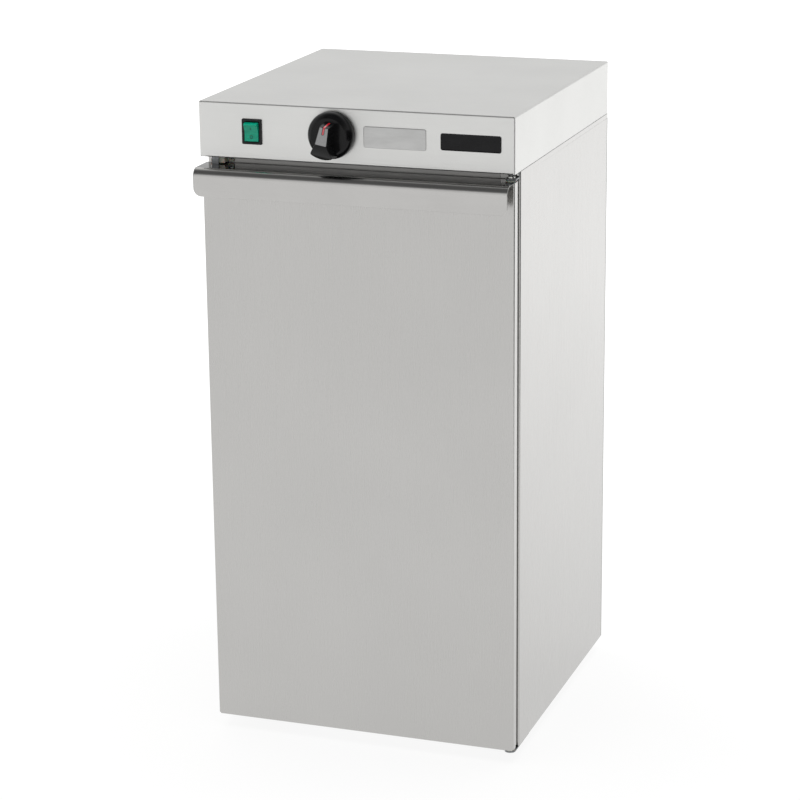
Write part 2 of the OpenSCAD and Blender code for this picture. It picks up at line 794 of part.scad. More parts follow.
// outer skin: front sheet with its lower and side edges bent back; it ends under the pan's top
module door_skin() color(steel) home() difference() {
    r = bend_r;
    union() {
        across([-door_x + r, door_x - r]) {
            translate([door_v, door_bottom + r]) square([sheet, skin_top - door_bottom - r]);
            bend([door_v + r, door_bottom + r], r, sheet, -1, -1);
            translate([door_v + r, door_bottom]) square([door_back - sheet - door_v - r, sheet]);
        }
        both_sides() translate([0, 0, door_bottom + r]) linear_extrude(skin_top - door_bottom - r) {
            bend([door_x - r, door_v + r], r, sheet, 1, -1);
            translate([door_x - sheet, door_v + r]) square([sheet, skin_flange - r]);
        }
    }
    rod_up(hinge_x, hinge_v, [door_bottom - 1, door_bottom + 3], bush_r);
}

// top of the inner pan as [depth, height]: it runs forward over the skin and folds down as the handle
module handle_section() {
    translate([lip_v + handle_r, skin_top]) square([door_back - lip_v - handle_r, sheet]);
    bend([lip_v + handle_r, door_top - handle_r], handle_r, sheet, -1, 1);
    translate([lip_v, lip_bottom]) square([sheet, lip_h - handle_r]);
}

// inner pan, nested in the skin and seen as the second strip along the door's edge
module door_pan() color(steel) home() difference() {
    union() {
        intersection() {
            block([-pan_x, pan_x], [pan_front, door_back], [pan_bottom, door_top]);
            translate([0, door_v + door_t / 2, pan_bottom]) linear_extrude(door_top - pan_bottom)
                rounded_rect(2 * pan_x, door_t, bend_r);
        }
        across([-door_x, door_x]) handle_section();
    }
    block(
        [-pan_x + sheet, pan_x - sheet], [skin_back, door_back - sheet], [pan_bottom + sheet, skin_top]
    );
    for (z = [pan_bottom, skin_top]) rod_up(hinge_x, hinge_v, [z - 1, z + sheet + 1], bush_r);
    // round lower corners of the lip
    both_sides() difference() {
        block(
            [door_x - lip_corner_r, door_x + 1], [lip_v - 1, lip_v + sheet + 1],
            [lip_bottom - 1, lip_bottom + lip_corner_r]
        );
        rod_back(
            door_x - lip_corner_r, [lip_v - 2, lip_v + sheet + 2], lip_bottom + lip_corner_r, lip_corner_r
        );
    }
}

module door_insulation() color(wool) home()
    block(
        [-pan_x + sheet + 0.5, hinge_x - bush_r - 2], [skin_back + 0.5, door_back - sheet - 0.5],
        [pan_bottom + sheet + 0.5, skin_top - 0.5]
    );

gasket_w = 10;
gasket_x = chamber_x + 12;
gasket_z = [chamber_floor - 15, chamber_ceiling + 15];

// soft frame that closes on the body's front, just outside the chamber
module door_gasket() color(rubber) home() difference() {
    block([-gasket_x, gasket_x], [door_back, body_v - 0.3], gasket_z);
    block(
        about(0, 2 * (gasket_x - gasket_w)), [door_back - 1, body_v + 1],
        [gasket_z[0] + gasket_w, gasket_z[1] - gasket_w]
    );
}

// flanged bushes that the hinge pins turn in, one at each end of the door
module hinge_bushes() color(nylon) home() {
    difference() {
        union() {
            rod_up(hinge_x, hinge_v, [foot_h, door_bottom], bush_flange_r);
            rod_up(hinge_x, hinge_v, [door_bottom, door_bottom + bush_len], bush_r);
        }
        rod_up(hinge_x, hinge_v, [foot_h - 1, door_bottom + bush_len + 1], hinge_pin_r + pin_play);
    }
    difference() {
        union() {
            rod_up(hinge_x, hinge_v, span(door_top, top_bush_flange), bush_flange_r);
            rod_up(hinge_x, hinge_v, [door_top - bush_len, door_top], bush_r);
        }
        rod_up(hinge_x, hinge_v, [door_top - bush_len - 1, door_top + 3], hinge_pin_r + pin_play);
    }
}

module hinge_bracket_bottom() color(bright_steel) home() difference() {
    union() {
        block(about(hinge_x, bracket_w), [hinge_v, 72], [foot_h - bracket_t, foot_h]);
        rod_up(hinge_x, hinge_v, [foot_h - bracket_t, foot_h], bracket_w / 2);
    }
    rod_up(hinge_x, hinge_v, [foot_h - bracket_t - 1, foot_h + 1], hinge_pin_r);
    for (v = bottom_screw_vs) rod_up(hinge_x, v, [foot_h - bracket_t - 1, foot_h + 1], bottom_screw_r);
}

// angle bracket on the body's front, which holds the upper pin over the door
module hinge_bracket_top() color(bright_steel) home() difference() {
    union() {
        block(about(hinge_x, bracket_w), [hinge_v, body_v], span(bracket_top_z, bracket_t));
        rod_up(hinge_x, hinge_v, span(bracket_top_z, bracket_t), bracket_w / 2);
        block(about(hinge_x, bracket_w), [body_v - bracket_t, body_v], [bracket_top_z, body_top]);
    }
    rod_up(hinge_x, hinge_v, [bracket_top_z - 1, bracket_top_z + bracket_t + 1], hinge_pin_r);
    for (x = hinge_screw_xs) rod_back(x, [body_v - 3, body_v + 1], front_screw_z, screw_r);
}

module hinge_pin_bottom() color(bright_steel) home()
    rod_up(hinge_x, hinge_v, [foot_h - bracket_t, door_bottom + bush_len - 1], hinge_pin_r);

module hinge_pin_top() color(bright_steel) home() {
    rod_up(hinge_x, hinge_v, [door_top - bush_len + 1, bracket_top_z + bracket_t], hinge_pin_r);
    rod_up(hinge_x, hinge_v, span(bracket_top_z + bracket_t, 2.4), hinge_pin_r + 1.6);
}

// black holder of the magnet, with an ear at each end for its screws
module catch_housing() color(nylon) home() difference() {
    union() {
        block(about(catch_x, catch_w), [catch_front_v, body_v], catch_z);
        block(about(catch_x, catch_w + 2 * catch_ear), [body_v - bracket_t, body_v], catch_z);
    }
    block(magnet_x, [catch_front_v - 1, magnet_back_v], magnet_z);
    for (x = catch_screw_xs) rod_back(x, [body_v - 3, body_v + 1], front_screw_z, screw_r);
}

module catch_magnet() color(dull_steel) home()
    block(magnet_x, [strike_v + strike_t + 0.1, magnet_back_v], magnet_z);

// steel angle on the door's top that the magnet pulls on
module catch_strike() color(bright_steel) home() {
    block(strike_x, [strike_v, 20], span(door_top, sheet));
    block(strike_x, span(strike_v, strike_t), [door_top + sheet, catch_z[1]]);
}

// screws of the hinge brackets and of the catch
module bracket_screws() color(bright_steel) home() {
    for (x = concat(hinge_screw_xs, catch_screw_xs))
        screw_back(x, body_v - bracket_t, front_screw_z, 7, screw_r, 2.8);
    for (v = bottom_screw_vs) {
        rod_up(hinge_x, v, [foot_h - bracket_t, tray_top + 5], bottom_screw_r);
        rod_up(hinge_x, v, [foot_h - bracket_t - 2.4, foot_h - bracket_t], 4.5);
    }
}

// ---------------------------------------------------------------- feet

// rubber foot with a recess for its bolt's head
module foot(x, v) color(rubber) home() translate([x, v, 0]) rotate_extrude()
    polygon([
        [8, 0], [foot_r - 1, 0], [foot_r, 1], [foot_r - 2, foot_h], [foot_bolt_r, foot_h],
        [foot_bolt_r, 7], [8, 7]
    ]);

module foot_front_left() foot(-foot_x, foot_front_v);

module foot_front_right() foot(foot_x, foot_front_v);

module foot_rear_left() foot(-foot_x, foot_rear_v);

module foot_rear_right() foot(foot_x, foot_rear_v);

module foot_bolts() color(bright_steel) home()
    for (x = [-foot_x, foot_x], v = [foot_front_v, foot_rear_v]) {
        rod_up(x, v, [3, tray_top + 9], foot_bolt_r);
        rod_up(x, v, [3, 7], 6.5);
        translate([x, v, tray_top]) difference() {
            cylinder(h = 6.5, r = 7.5, $fn = 6);
            translate([0, 0, -1]) cylinder(h = 9, r = foot_bolt_r);
        }
    }

// ---------------------------------------------------------------- assembly

base_tray();
side_panel_left();
side_panel_right();
back_panel();
front_rail_top();
front_rail_bottom();
top_deck();
top_cover();
panel_screws();
liner_left();
liner_right();
liner_back();
liner_ceiling();
liner_floor();
insulation_left();
insulation_right();
insulation_back();
insulation_top();
insulation_bottom();
runners_left();
runners_right();
wire_shelf();
heater_guard();
heating_element();
element_brackets();
capillary_bulb();
bulb_clip();
safety_cutout();
thermostat_body();
thermostat_screws();
terminal_block();
earth_stud();
wiring();
cable_gland();
gland_nut();
switch_housing();
silver_plate();
black_plate();
hinge_bracket_top();
hinge_bracket_bottom();
hinge_pin_top();
hinge_pin_bottom();
catch_housing();
catch_magnet();
bracket_screws();
foot_front_left();
foot_front_right();
foot_rear_left();
foot_rear_right();
foot_bolts();
door_skin();
door_pan();
door_insulation();
door_gasket();
hinge_bushes();
catch_strike();
knob();
knob_pointer();
thermostat_shaft();
rocker();
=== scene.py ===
"""Plate warmer cabinet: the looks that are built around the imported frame.

Lengths are metres, in the frame's own axes: +X is the right-hand side seen from the front, -Y is the
front and +Z is up. Places come from the boxes of the frame's nodes. A name that ends in _mm holds
millimetres.
"""

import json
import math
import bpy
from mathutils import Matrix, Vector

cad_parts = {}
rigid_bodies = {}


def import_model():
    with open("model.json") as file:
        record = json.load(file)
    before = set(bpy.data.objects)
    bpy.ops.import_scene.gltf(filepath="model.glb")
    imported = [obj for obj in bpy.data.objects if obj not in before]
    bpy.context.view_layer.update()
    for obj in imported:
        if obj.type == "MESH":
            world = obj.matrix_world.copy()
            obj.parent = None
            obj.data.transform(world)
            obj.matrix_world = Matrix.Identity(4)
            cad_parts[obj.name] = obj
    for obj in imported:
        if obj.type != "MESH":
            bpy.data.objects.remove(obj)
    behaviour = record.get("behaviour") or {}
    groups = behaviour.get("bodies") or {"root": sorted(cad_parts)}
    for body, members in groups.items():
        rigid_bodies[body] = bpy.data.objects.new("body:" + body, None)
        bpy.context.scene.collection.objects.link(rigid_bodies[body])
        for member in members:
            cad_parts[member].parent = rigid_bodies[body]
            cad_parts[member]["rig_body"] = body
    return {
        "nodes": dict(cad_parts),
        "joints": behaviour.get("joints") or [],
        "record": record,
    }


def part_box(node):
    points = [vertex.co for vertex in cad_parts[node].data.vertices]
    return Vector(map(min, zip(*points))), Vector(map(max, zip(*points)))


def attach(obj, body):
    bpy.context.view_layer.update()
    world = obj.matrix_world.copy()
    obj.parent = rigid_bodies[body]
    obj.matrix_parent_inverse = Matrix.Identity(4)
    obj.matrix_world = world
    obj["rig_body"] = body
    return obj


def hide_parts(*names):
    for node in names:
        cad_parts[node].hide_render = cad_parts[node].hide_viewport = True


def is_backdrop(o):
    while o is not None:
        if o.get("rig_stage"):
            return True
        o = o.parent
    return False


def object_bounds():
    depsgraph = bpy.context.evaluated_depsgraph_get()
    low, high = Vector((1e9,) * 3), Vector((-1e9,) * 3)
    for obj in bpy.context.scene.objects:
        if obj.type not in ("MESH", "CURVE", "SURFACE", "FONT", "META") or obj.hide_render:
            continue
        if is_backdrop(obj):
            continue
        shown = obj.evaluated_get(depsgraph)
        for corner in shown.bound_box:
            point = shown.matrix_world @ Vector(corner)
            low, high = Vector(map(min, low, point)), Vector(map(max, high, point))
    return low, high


bl_info = {
    "name": "Plate Warmer Cabinet",
    "version": (1, 0, 0),
    "blender": (4, 5, 0),
    "location": "View3D > Sidebar > Cabinet",
    "description": "Builds the skins, controls, fittings and finishes of a plate warmer cabinet",
    "category": "Add Mesh",
}

import bmesh
import bpy
from mathutils import Matrix, Vector

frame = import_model()
cad_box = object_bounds()
MM = 0.001
MERGE = 1e-6  # points that are nearer than this are one

# ------------------------------------------------------------------ colours and nodes


def linear(hex_colour):
    """An sRGB hex colour, such as #C0C0C0, as linear red, green, blue and alpha."""
    channels = [int(hex_colour[i : i + 2], 16) / 255 for i in (1, 3, 5)]
    return [c / 12.92 if c <= 0.04045 else ((c + 0.055) / 1.055) ** 2.4 for c in channels] + [1.0]


def add_node(tree, kind, links=None, values=None, **settings):
    """Adds a node: settings are its properties, values its sockets' values, links what feeds them."""
    added = tree.nodes.new(kind)
    for name, value in settings.items():
        setattr(added, name, value)
    for key, value in (values or {}).items():
        added.inputs[key].default_value = value
    for key, source in (links or {}).items():
        tree.links.new(source, added.inputs[key])
    return added


def cloud(tree, size_mm, detail=2.0):
    """Soft random pattern about 0.5 in object coordinates. size_mm is the size of its blots, one number
    or (x, y, z)."""
    across = size_mm if isinstance(size_mm, tuple) else (size_mm, size_mm, size_mm)
    coordinates = add_node(tree, "ShaderNodeTexCoord")
    scaled = add_node(
        tree,
        "ShaderNodeMapping",
        links={"Vector": coordinates.outputs["Object"]},
        values={"Scale": [1 / (MM * size) for size in across]},
    )
    noise = add_node(
        tree,
        "ShaderNodeTexNoise",
        links={"Vector": scaled.outputs[0]},
        values={"Scale": 1.0, "Detail": detail, "Roughness": 0.55},
    )
    return noise.outputs[0]


SOCKETS = {
    "coat": "Coat Weight",
    "coat_roughness": "Coat Roughness",
    "ior": "IOR",
    "metallic": "Metallic",
    "specular": "Specular IOR Level",
    "subsurface": "Subsurface Weight",
    "subsurface_scale": "Subsurface Scale",
    "sheen_weight": "Sheen Weight",
}


def finish(name, colour, roughness, blots, sheen, relief=None, **sockets):
    """One procedural finish. blots are (second colour, size_mm), sheen is (roughest, size_mm) and
    relief is (depth_mm, size_mm). sockets are more values of the shader, by the names in SOCKETS."""
    if name in bpy.data.materials:
        return bpy.data.materials[name]
    material = bpy.data.materials.new(name)
    material.use_nodes = True
    tree = material.node_tree
    shader = tree.nodes["Principled BSDF"]
    shader.inputs["Base Color"].default_value = linear(colour)
    shader.inputs["Roughness"].default_value = roughness
    for key, value in sockets.items():
        shader.inputs[SOCKETS[key]].default_value = value
    second, size_mm = blots
    share = add_node(
        tree,
        "ShaderNodeMapRange",
        links={0: cloud(tree, size_mm, 4.0)},
        values={"From Min": 0.35, "From Max": 0.65, "To Min": 0.0, "To Max": 1.0},
    )
    # a Mix node's colours are its sockets 6 and 7, and its output 2
    mixed = add_node(
        tree,
        "ShaderNodeMix",
        links={0: share.outputs[0]},
        values={6: linear(colour), 7: linear(second)},
        data_type="RGBA",
    )
    tree.links.new(mixed.outputs[2], shader.inputs["Base Color"])
    roughest, size_mm = sheen
    spread = add_node(
        tree,
        "ShaderNodeMapRange",
        links={0: cloud(tree, size_mm)},
        values={"From Min": 0.3, "From Max": 0.7, "To Min": roughness, "To Max": roughest},
    )
    tree.links.new(spread.outputs[0], shader.inputs["Roughness"])
    if relief:
        depth_mm, size_mm = relief
        bump = add_node(
            tree,
            "ShaderNodeBump",
            links={"Height": cloud(tree, size_mm, 3.0)},
            values={"Strength": 1.0, "Distance": depth_mm * MM},
        )
        tree.links.new(bump.outputs[0], shader.inputs["Normal"])
    return material


def metal(name, colour, roughness, blots, sheen, relief=None):
    """A finish of bare metal."""
    return finish(name, colour, roughness, blots, sheen, relief, metallic=1.0)


# ------------------------------------------------------------------ finishes


def brushed_sheet(name, colour, second, grain_mm, blur):
    """Stainless sheet with a ground, brushed face: a metal grey with long fine scratches one way, which
    blur what it mirrors, and faint broad hand marks. Real grain is about 0.1 mm wide, too fine to show,
    so it is drawn 0.7 mm wide."""
    sheen, scratches = (blur + 0.06, grain_mm), (0.0009, grain_mm)
    return metal(name, colour, blur, blots=(second, 160), sheen=sheen, relief=scratches)


def upright_grain():
    """The casing's sheet, brushed up and down."""
    name = "brushed stainless, upright grain"
    return brushed_sheet(name, looks().steel_hex, "#BBBAB8", (0.7, 0.7, 60), 0.22)


def level_grain():
    """The cover's paler sheet, brushed from side to side."""
    name = "brushed stainless, level grain"
    return brushed_sheet(name, looks().cover_hex, "#DADAD8", (60, 0.7, 0.7), 0.4)


def folded_sheet():
    """The same stainless on the door pan, ground along the handle's fold: the scratches are too fine to
    show, and leave only faint cloudy bands."""
    return metal(
        "brushed stainless, along the folds", looks().steel_hex, 0.17,
        blots=("#B9B8B6", (90, 60, 60)), sheen=(0.22, (60, 3, 3)),
    )


def painted_dark_top_sheet():
    """Flat top of the handle: near a mirror, coloured dark as painted shade for the gap it mirrors."""
    return metal(
        "brushed stainless, top painted dark", "#50504F", 0.07, blots=("#6A6A69", (60, 30, 30)),
        sheen=(0.1, (40, 4, 4)),
    )


def rolled_sheet():
    """Stainless as it left the rolls, for the chamber: greyer and cloudier, with no grain."""
    return metal("cold-rolled stainless, 2B", "#AFAEAC", 0.34, blots=("#ABAAA8", 60), sheen=(0.38, 18))


def dull_zinc():
    """Grey passivated zinc plating of the brackets and the strike: flat and a little blue."""
    return metal("grey passivated zinc", "#8C8E90", 0.34, blots=("#7E8082", 5), sheen=(0.44, 2.5))


def galvanised_sheet():
    """Zinc-dipped steel: pale blue-grey with the soft-edged crystals that the zinc cooled into."""
    return metal("galvanised steel", "#A9ADB0", 0.36, blots=("#8F9497", 9), sheen=(0.52, 7))


def zinc_plate():
    """Bright zinc-plated steel of the screws, pins and clips: near white, and almost a mirror."""
    return metal("bright zinc plating", "#D9DADB", 0.16, blots=("#CFCFC8", 6), sheen=(0.26, 2.5))


def polished_wire():
    """Electropolished stainless wire of the shelf: bright, with a faint draw line along each bar."""
    return metal(
        "electropolished stainless wire", "#CBCBC9", 0.14, blots=("#BDBDBA", 12),
        sheen=(0.24, (1.5, 14, 1.5)),
    )


def heated_tube():
    """Nickel-alloy tube of the element after hours of heat: matte brown-grey with blue and straw tints."""
    return metal(
        "heat-tinted alloy tube", "#6B5F57", 0.42, blots=("#4E5560", (22, 34, 22)), sheen=(0.6, 8)
    )


def dull_steel():
    """Pressed steel of the thermostat and the magnet: grey, oily and uneven."""
    return metal("pressed mild steel", "#7C7D7F", 0.4, blots=("#6C6D6E", 7), sheen=(0.55, 3))


def filled_nylon():
    """Black glass-filled nylon, moulded: near black, satin, with a fine spark-eroded texture."""
    return finish(
        "black glass-filled nylon", looks().nylon_hex, 0.36, blots=("#1C1C1E", 3),
        sheen=(0.48, 1.2), relief=(0.012, 0.5), specular=0.3,
    )


def gloss_phenolic():
    """Black phenolic of the knob, moulded in a polished tool: deep black with sharp soft-edged highlights
    and the faint flow waves of thick walls."""
    return finish(
        "gloss black phenolic", looks().knob_hex, 0.13, blots=("#131314", 9), sheen=(0.2, 5),
        relief=(0.01, 4), specular=0.2,
    )


def thumbed_phenolic():
    """Face of the grip, polished by thumbs and lacquered: black, but with a strong clear sheen."""
    return finish(
        "thumb-polished phenolic", looks().knob_hex, 0.18, blots=("#131314", 5), sheen=(0.24, 6),
        ior=3.0, coat=1.0, coat_roughness=0.16,
    )


def red_enamel():
    """Red filler paint in the pointer's groove: gloss, slightly sunk and uneven."""
    return finish(
        "red filler enamel", looks().pointer_hex, 0.16, blots=("#B21224", 2), sheen=(0.26, 1),
        relief=(0.01, 1), ior=1.9, coat=1.0, coat_roughness=0.12,
    )


def green_lens():
    """Green polycarbonate lens of the lit rocker, moulded: light soaks into it, and its edges are bright."""
    return finish(
        "translucent green polycarbonate", looks().rocker_hex, 0.14, blots=("#0C9C7E", 6),
        sheen=(0.22, 4), relief=(0.01, 3), specular=0.3, subsurface=0.12, subsurface_scale=0.002,
    )


def mark_ink():
    """Dark green print of the on and off marks, sunk into the lens."""
    return finish("dark green marking ink", "#06483C", 0.5, blots=("#085346", 1), sheen=(0.5, 0.6))


def anodised_plate():
    """Silver anodised aluminium foil plate: pale, satin, brushed from side to side."""
    return metal(
        "silver anodised aluminium", looks().silver_hex, 0.3, blots=("#B6B6B5", (30, 8, 8)),
        sheen=(0.4, (20, 0.5, 0.5)), relief=(0.002, (20, 0.5, 0.5)),
    )


def lacquer_plate():
    """Black lacquered plate under clear resin: very dark, with mirror-like highlights."""
    return finish(
        "black plate under clear resin", looks().black_hex, 0.18, blots=("#141416", (14, 8, 8)),
        sheen=(0.24, (10, 6, 6)), specular=0.2,
    )


def foot_rubber():
    """Black vulcanised rubber: charcoal, matte, dusty in its pores."""
    return finish(
        "black vulcanised rubber", "#1D1D1D", 0.68, blots=("#2A2A29", 5), sheen=(0.82, 2),
        relief=(0.03, 0.8),
    )


def silicone_seal():
    """Grey silicone of the door seal: soft sheen, and slightly see-through at its thin lip."""
    return finish(
        "grey silicone rubber", "#5B5C5E", 0.48, blots=("#525355", 12), sheen=(0.58, 4),
        relief=(0.01, 2), subsurface=0.1, subsurface_scale=0.003,
    )


def mineral_wool():
    """Pressed mineral wool: straw-coloured, matte, with matted fibres and darker clumps."""
    return finish(
        "pressed mineral wool", "#C9B98A", 0.9, blots=("#A8966A", (4, 9, 6)), sheen=(1.0, 3),
        relief=(0.5, (1.2, 4, 1.2)), sheen_weight=0.3,
    )


def drawn_brass():
    """Drawn brass: warm yellow metal, a little tarnished in patches."""
    return metal("drawn brass", "#C7A35A", 0.24, blots=("#A98748", 4), sheen=(0.36, 2))


def natural_nylon():
    """Natural nylon of the bushes, catch and terminal block: milky ivory, and light soaks into it."""
    return finish(
        "natural nylon", "#DEDACD", 0.4, blots=("#D3CEBE", 6), sheen=(0.5, 3), subsurface=0.3,
        subsurface_scale=0.003,
    )


def wire_sleeve():
    """Silicone-glass sleeve of the leads: rust red, matte, with the rib of its braid."""
    return finish(
        "red silicone-glass sleeve", "#A5352A", 0.55, blots=("#8C2A22", 3), sheen=(0.68, 1),
        relief=(0.04, 0.7),
    )


# ------------------------------------------------------------------ shapes


def arc(centre, radius, start, end, steps=8):
    """Points on an arc in a section plane, from angle start to angle end in degrees."""
    angles = [math.radians(start + (end - start) * i / steps) for i in range(steps + 1)]
    return [(centre[0] + radius * math.cos(a), centre[1] + radius * math.sin(a)) for a in angles]


def rounded_loop(width, height, radius, steps=6):
    """Rounded rectangle about the origin, from its right side up and round by the left."""
    points = []
    for right, up, start in ((1, 1, 0), (-1, 1, 90), (-1, -1, 180), (1, -1, 270)):
        centre = (right * (width / 2 - radius), up * (height / 2 - radius))
        points += arc(centre, radius, start, start + 90, steps)
    return points


def lay_faces(bm, rows, around=False, ends=False, keep=None):
    """Faces between rows of points. around closes each row on itself, ends caps the first and last
    rows, and keep(i, j) says which faces stay."""
    grid = [[bm.verts.new(p) for p in row] for row in rows]
    count = len(rows[0])
    for i, (low, high) in enumerate(zip(grid, grid[1:])):
        for j in range(count if around else count - 1):
            k = (j + 1) % count
            if keep is None or keep(i, j):
                bm.faces.new((low[j], low[k], high[k], high[j]))
    if ends:
        bm.faces.new(grid[0])
        bm.faces.new(reversed(grid[-1]))
    return grid


def lathe(bm, profile, at, segments):
    """Turned shape from (radius, height) points; at(a, b, height) gives a point in the frame's axes."""
    turns = [2 * math.pi * i / segments for i in range(segments)]
    rows = [[at(r * math.cos(t), r * math.sin(t), h) for t in turns] for r, h in profile]
    lay_faces(bm, rows, around=True)


def block(bm, low, high):
    """Box between two corners."""
    made = bmesh.ops.create_cube(bm, size=1.0)["verts"]
    low, high = Vector(low), Vector(high)
    for vert in made:
        vert.co = Vector([(low[i] + high[i]) / 2 + vert.co[i] * (high[i] - low[i]) for i in range(3)])


def rod(bm, centre, axis, radius, length, segments=32):
    """Capped cylinder about a point, along an axis."""
    turn = Vector((0, 0, 1)).rotation_difference(Vector(axis)).to_matrix().to_4x4()
    bmesh.ops.create_cone(
        bm,
        cap_ends=True,
        segments=segments,
        radius1=radius,
        radius2=radius,
        depth=length,
        matrix=Matrix.Translation(centre) @ turn,
    )


def new_object(name, bm, material, outwards=True):
    """Object at the origin from a bmesh: doubles merged, faces outwards and smooth."""
    bmesh.ops.remove_doubles(bm, verts=bm.verts, dist=MERGE)
    loose = [v for v in bm.verts if not v.link_faces]
    bmesh.ops.delete(bm, geom=loose, context="VERTS")
    if outwards:
        bmesh.ops.recalc_face_normals(bm, faces=bm.faces)
    for face in bm.faces:
        face.smooth = True
    mesh = bpy.data.meshes.new(name)
    bm.to_mesh(mesh)
    bm.free()
    mesh.materials.append(material)
    made = bpy.data.objects.new(name, mesh)
    bpy.context.scene.collection.objects.link(made)
    return made


def drill(piece, cutter):
    """Cuts the cutter's bmesh out of a piece."""
    tool = new_object(piece.name + "_cutter", cutter, piece.data.materials[0])
    cut = piece.modifiers.new("cut", "BOOLEAN")
    cut.object = tool
    cut.solver = "EXACT"
    settle(piece)
    bpy.data.objects.remove(tool)


def thicken(piece, wall):
    """Gives an open skin its wall, on the side that its faces turn away from."""
    solid = piece.modifiers.new("wall", "SOLIDIFY")
    solid.thickness = wall
    solid.offset = -1.0
    solid.use_even_offset = True


def ease(piece, width, segments=2, angle=40):
    """Rounds the edges sharper than angle by width, and shades the flats flat."""
    bevel = piece.modifiers.new("edges", "BEVEL")
    bevel.width = width
    bevel.segments = segments
    bevel.limit_method = "ANGLE"
    bevel.angle_limit = math.radians(angle)
    bevel.use_clamp_overlap = False
    piece.modifiers.new("shading", "WEIGHTED_NORMAL").keep_sharp = True


def settle(piece):
    """Bakes a piece's modifiers into a plain mesh."""
    graph = bpy.context.evaluated_depsgraph_get()
    old = piece.data
    piece.data = bpy.data.meshes.new_from_object(
        piece.evaluated_get(graph), preserve_all_data_layers=True, depsgraph=graph
    )
    piece.modifiers.clear()
    bpy.data.meshes.remove(old)
    piece.data.name = piece.name


def place(piece, body, slot, *nodes):
    """Bakes a piece, sets it on its body and hides the nodes that it stands for. slot is not used."""
    settle(piece)
    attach(piece, body)
    if nodes:
        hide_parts(*nodes)
    return piece


def dress(material, *nodes):
    """Gives nodes of the frame a finish, and leaves their shape alone."""
    for name in nodes:
        frame["nodes"][name].data.materials.clear()
        frame["nodes"][name].data.materials.append(material)


def refine(material, width, *nodes):
    """Replaces nodes whose shape is right with copies whose triangles are merged and edges eased."""
    slots = {s["node"]: s["material_slot"] for s in frame["record"]["subparts"]}
    for name in nodes:
        bm = bmesh.new()
        bm.from_mesh(frame["nodes"][name].data)
        bmesh.ops.remove_doubles(bm, verts=bm.verts, dist=MERGE)
        bmesh.ops.dissolve_limit(bm, angle_limit=math.radians(0.4), verts=bm.verts, edges=bm.edges)
        piece = new_object("fine_" + name, bm, material, outwards=False)
        ease(piece, width)
        place(piece, frame["nodes"][name]["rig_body"], slots[name], name)


def middle(node):
    """Middle of a node's box."""
    low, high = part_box(node)
    return (low + high) / 2


# ------------------------------------------------------------------ repeats made with Geometry Nodes


def new_tree(name, **sizes):
    """Geometry tree that takes a mesh and named sizes: returns it, its input and its output node."""
    tree = bpy.data.node_groups.new(name, "GeometryNodeTree")
    tree.interface.new_socket("Geometry", in_out="INPUT", socket_type="NodeSocketGeometry")
    for label, value in sizes.items():
        kind = "NodeSocketInt" if isinstance(value, int) else "NodeSocketFloat"
        if isinstance(value, (tuple, list)):
            kind = "NodeSocketVector"
        socket = tree.interface.new_socket(label.replace("_", " "), in_out="INPUT", socket_type=kind)
        socket.default_value = value
    tree.interface.new_socket("Material", in_out="INPUT", socket_type="NodeSocketMaterial")
    tree.interface.new_socket("Geometry", in_out="OUTPUT", socket_type="NodeSocketGeometry")
    return tree, add_node(tree, "NodeGroupInput"), add_node(tree, "NodeGroupOutput")


def close_tree(tree, start, end, geometry):
    """Ends a tree: instances made real, material set, faces smooth."""
    real = add_node(tree, "GeometryNodeRealizeInstances", links={0: geometry})
    painted = add_node(
        tree,
        "GeometryNodeSetMaterial",
        links={"Geometry": real.outputs[0], "Material": start.outputs["Material"]},
    )
    smooth = add_node(tree, "GeometryNodeSetShadeSmooth", links={0: painted.outputs[0]})
    tree.links.new(smooth.outputs[0], end.inputs[0])


def grow(name, tree, points, material, **sizes):
    """Piece grown by a geometry tree from a mesh of points, with its sizes set by name."""
    bm = bmesh.new()
    for point in points:
        bm.verts.new(point)
    mesh = bpy.data.meshes.new(name)
    bm.to_mesh(mesh)
    bm.free()
    mesh.materials.append(material)
    piece = bpy.data.objects.new(name, mesh)
    bpy.context.scene.collection.objects.link(piece)
    modifier = piece.modifiers.new("grow", "NODES")
    modifier.node_group = tree
    values = {label.replace("_", " "): value for label, value in sizes.items()}
    values["Material"] = material
    for socket in tree.interface.items_tree:
        if socket.in_out == "INPUT" and socket.name in values:
            modifier[socket.identifier] = values[socket.name]
    settle(piece)
    return piece


HEAD_HEIGHT = 2.4 * MM


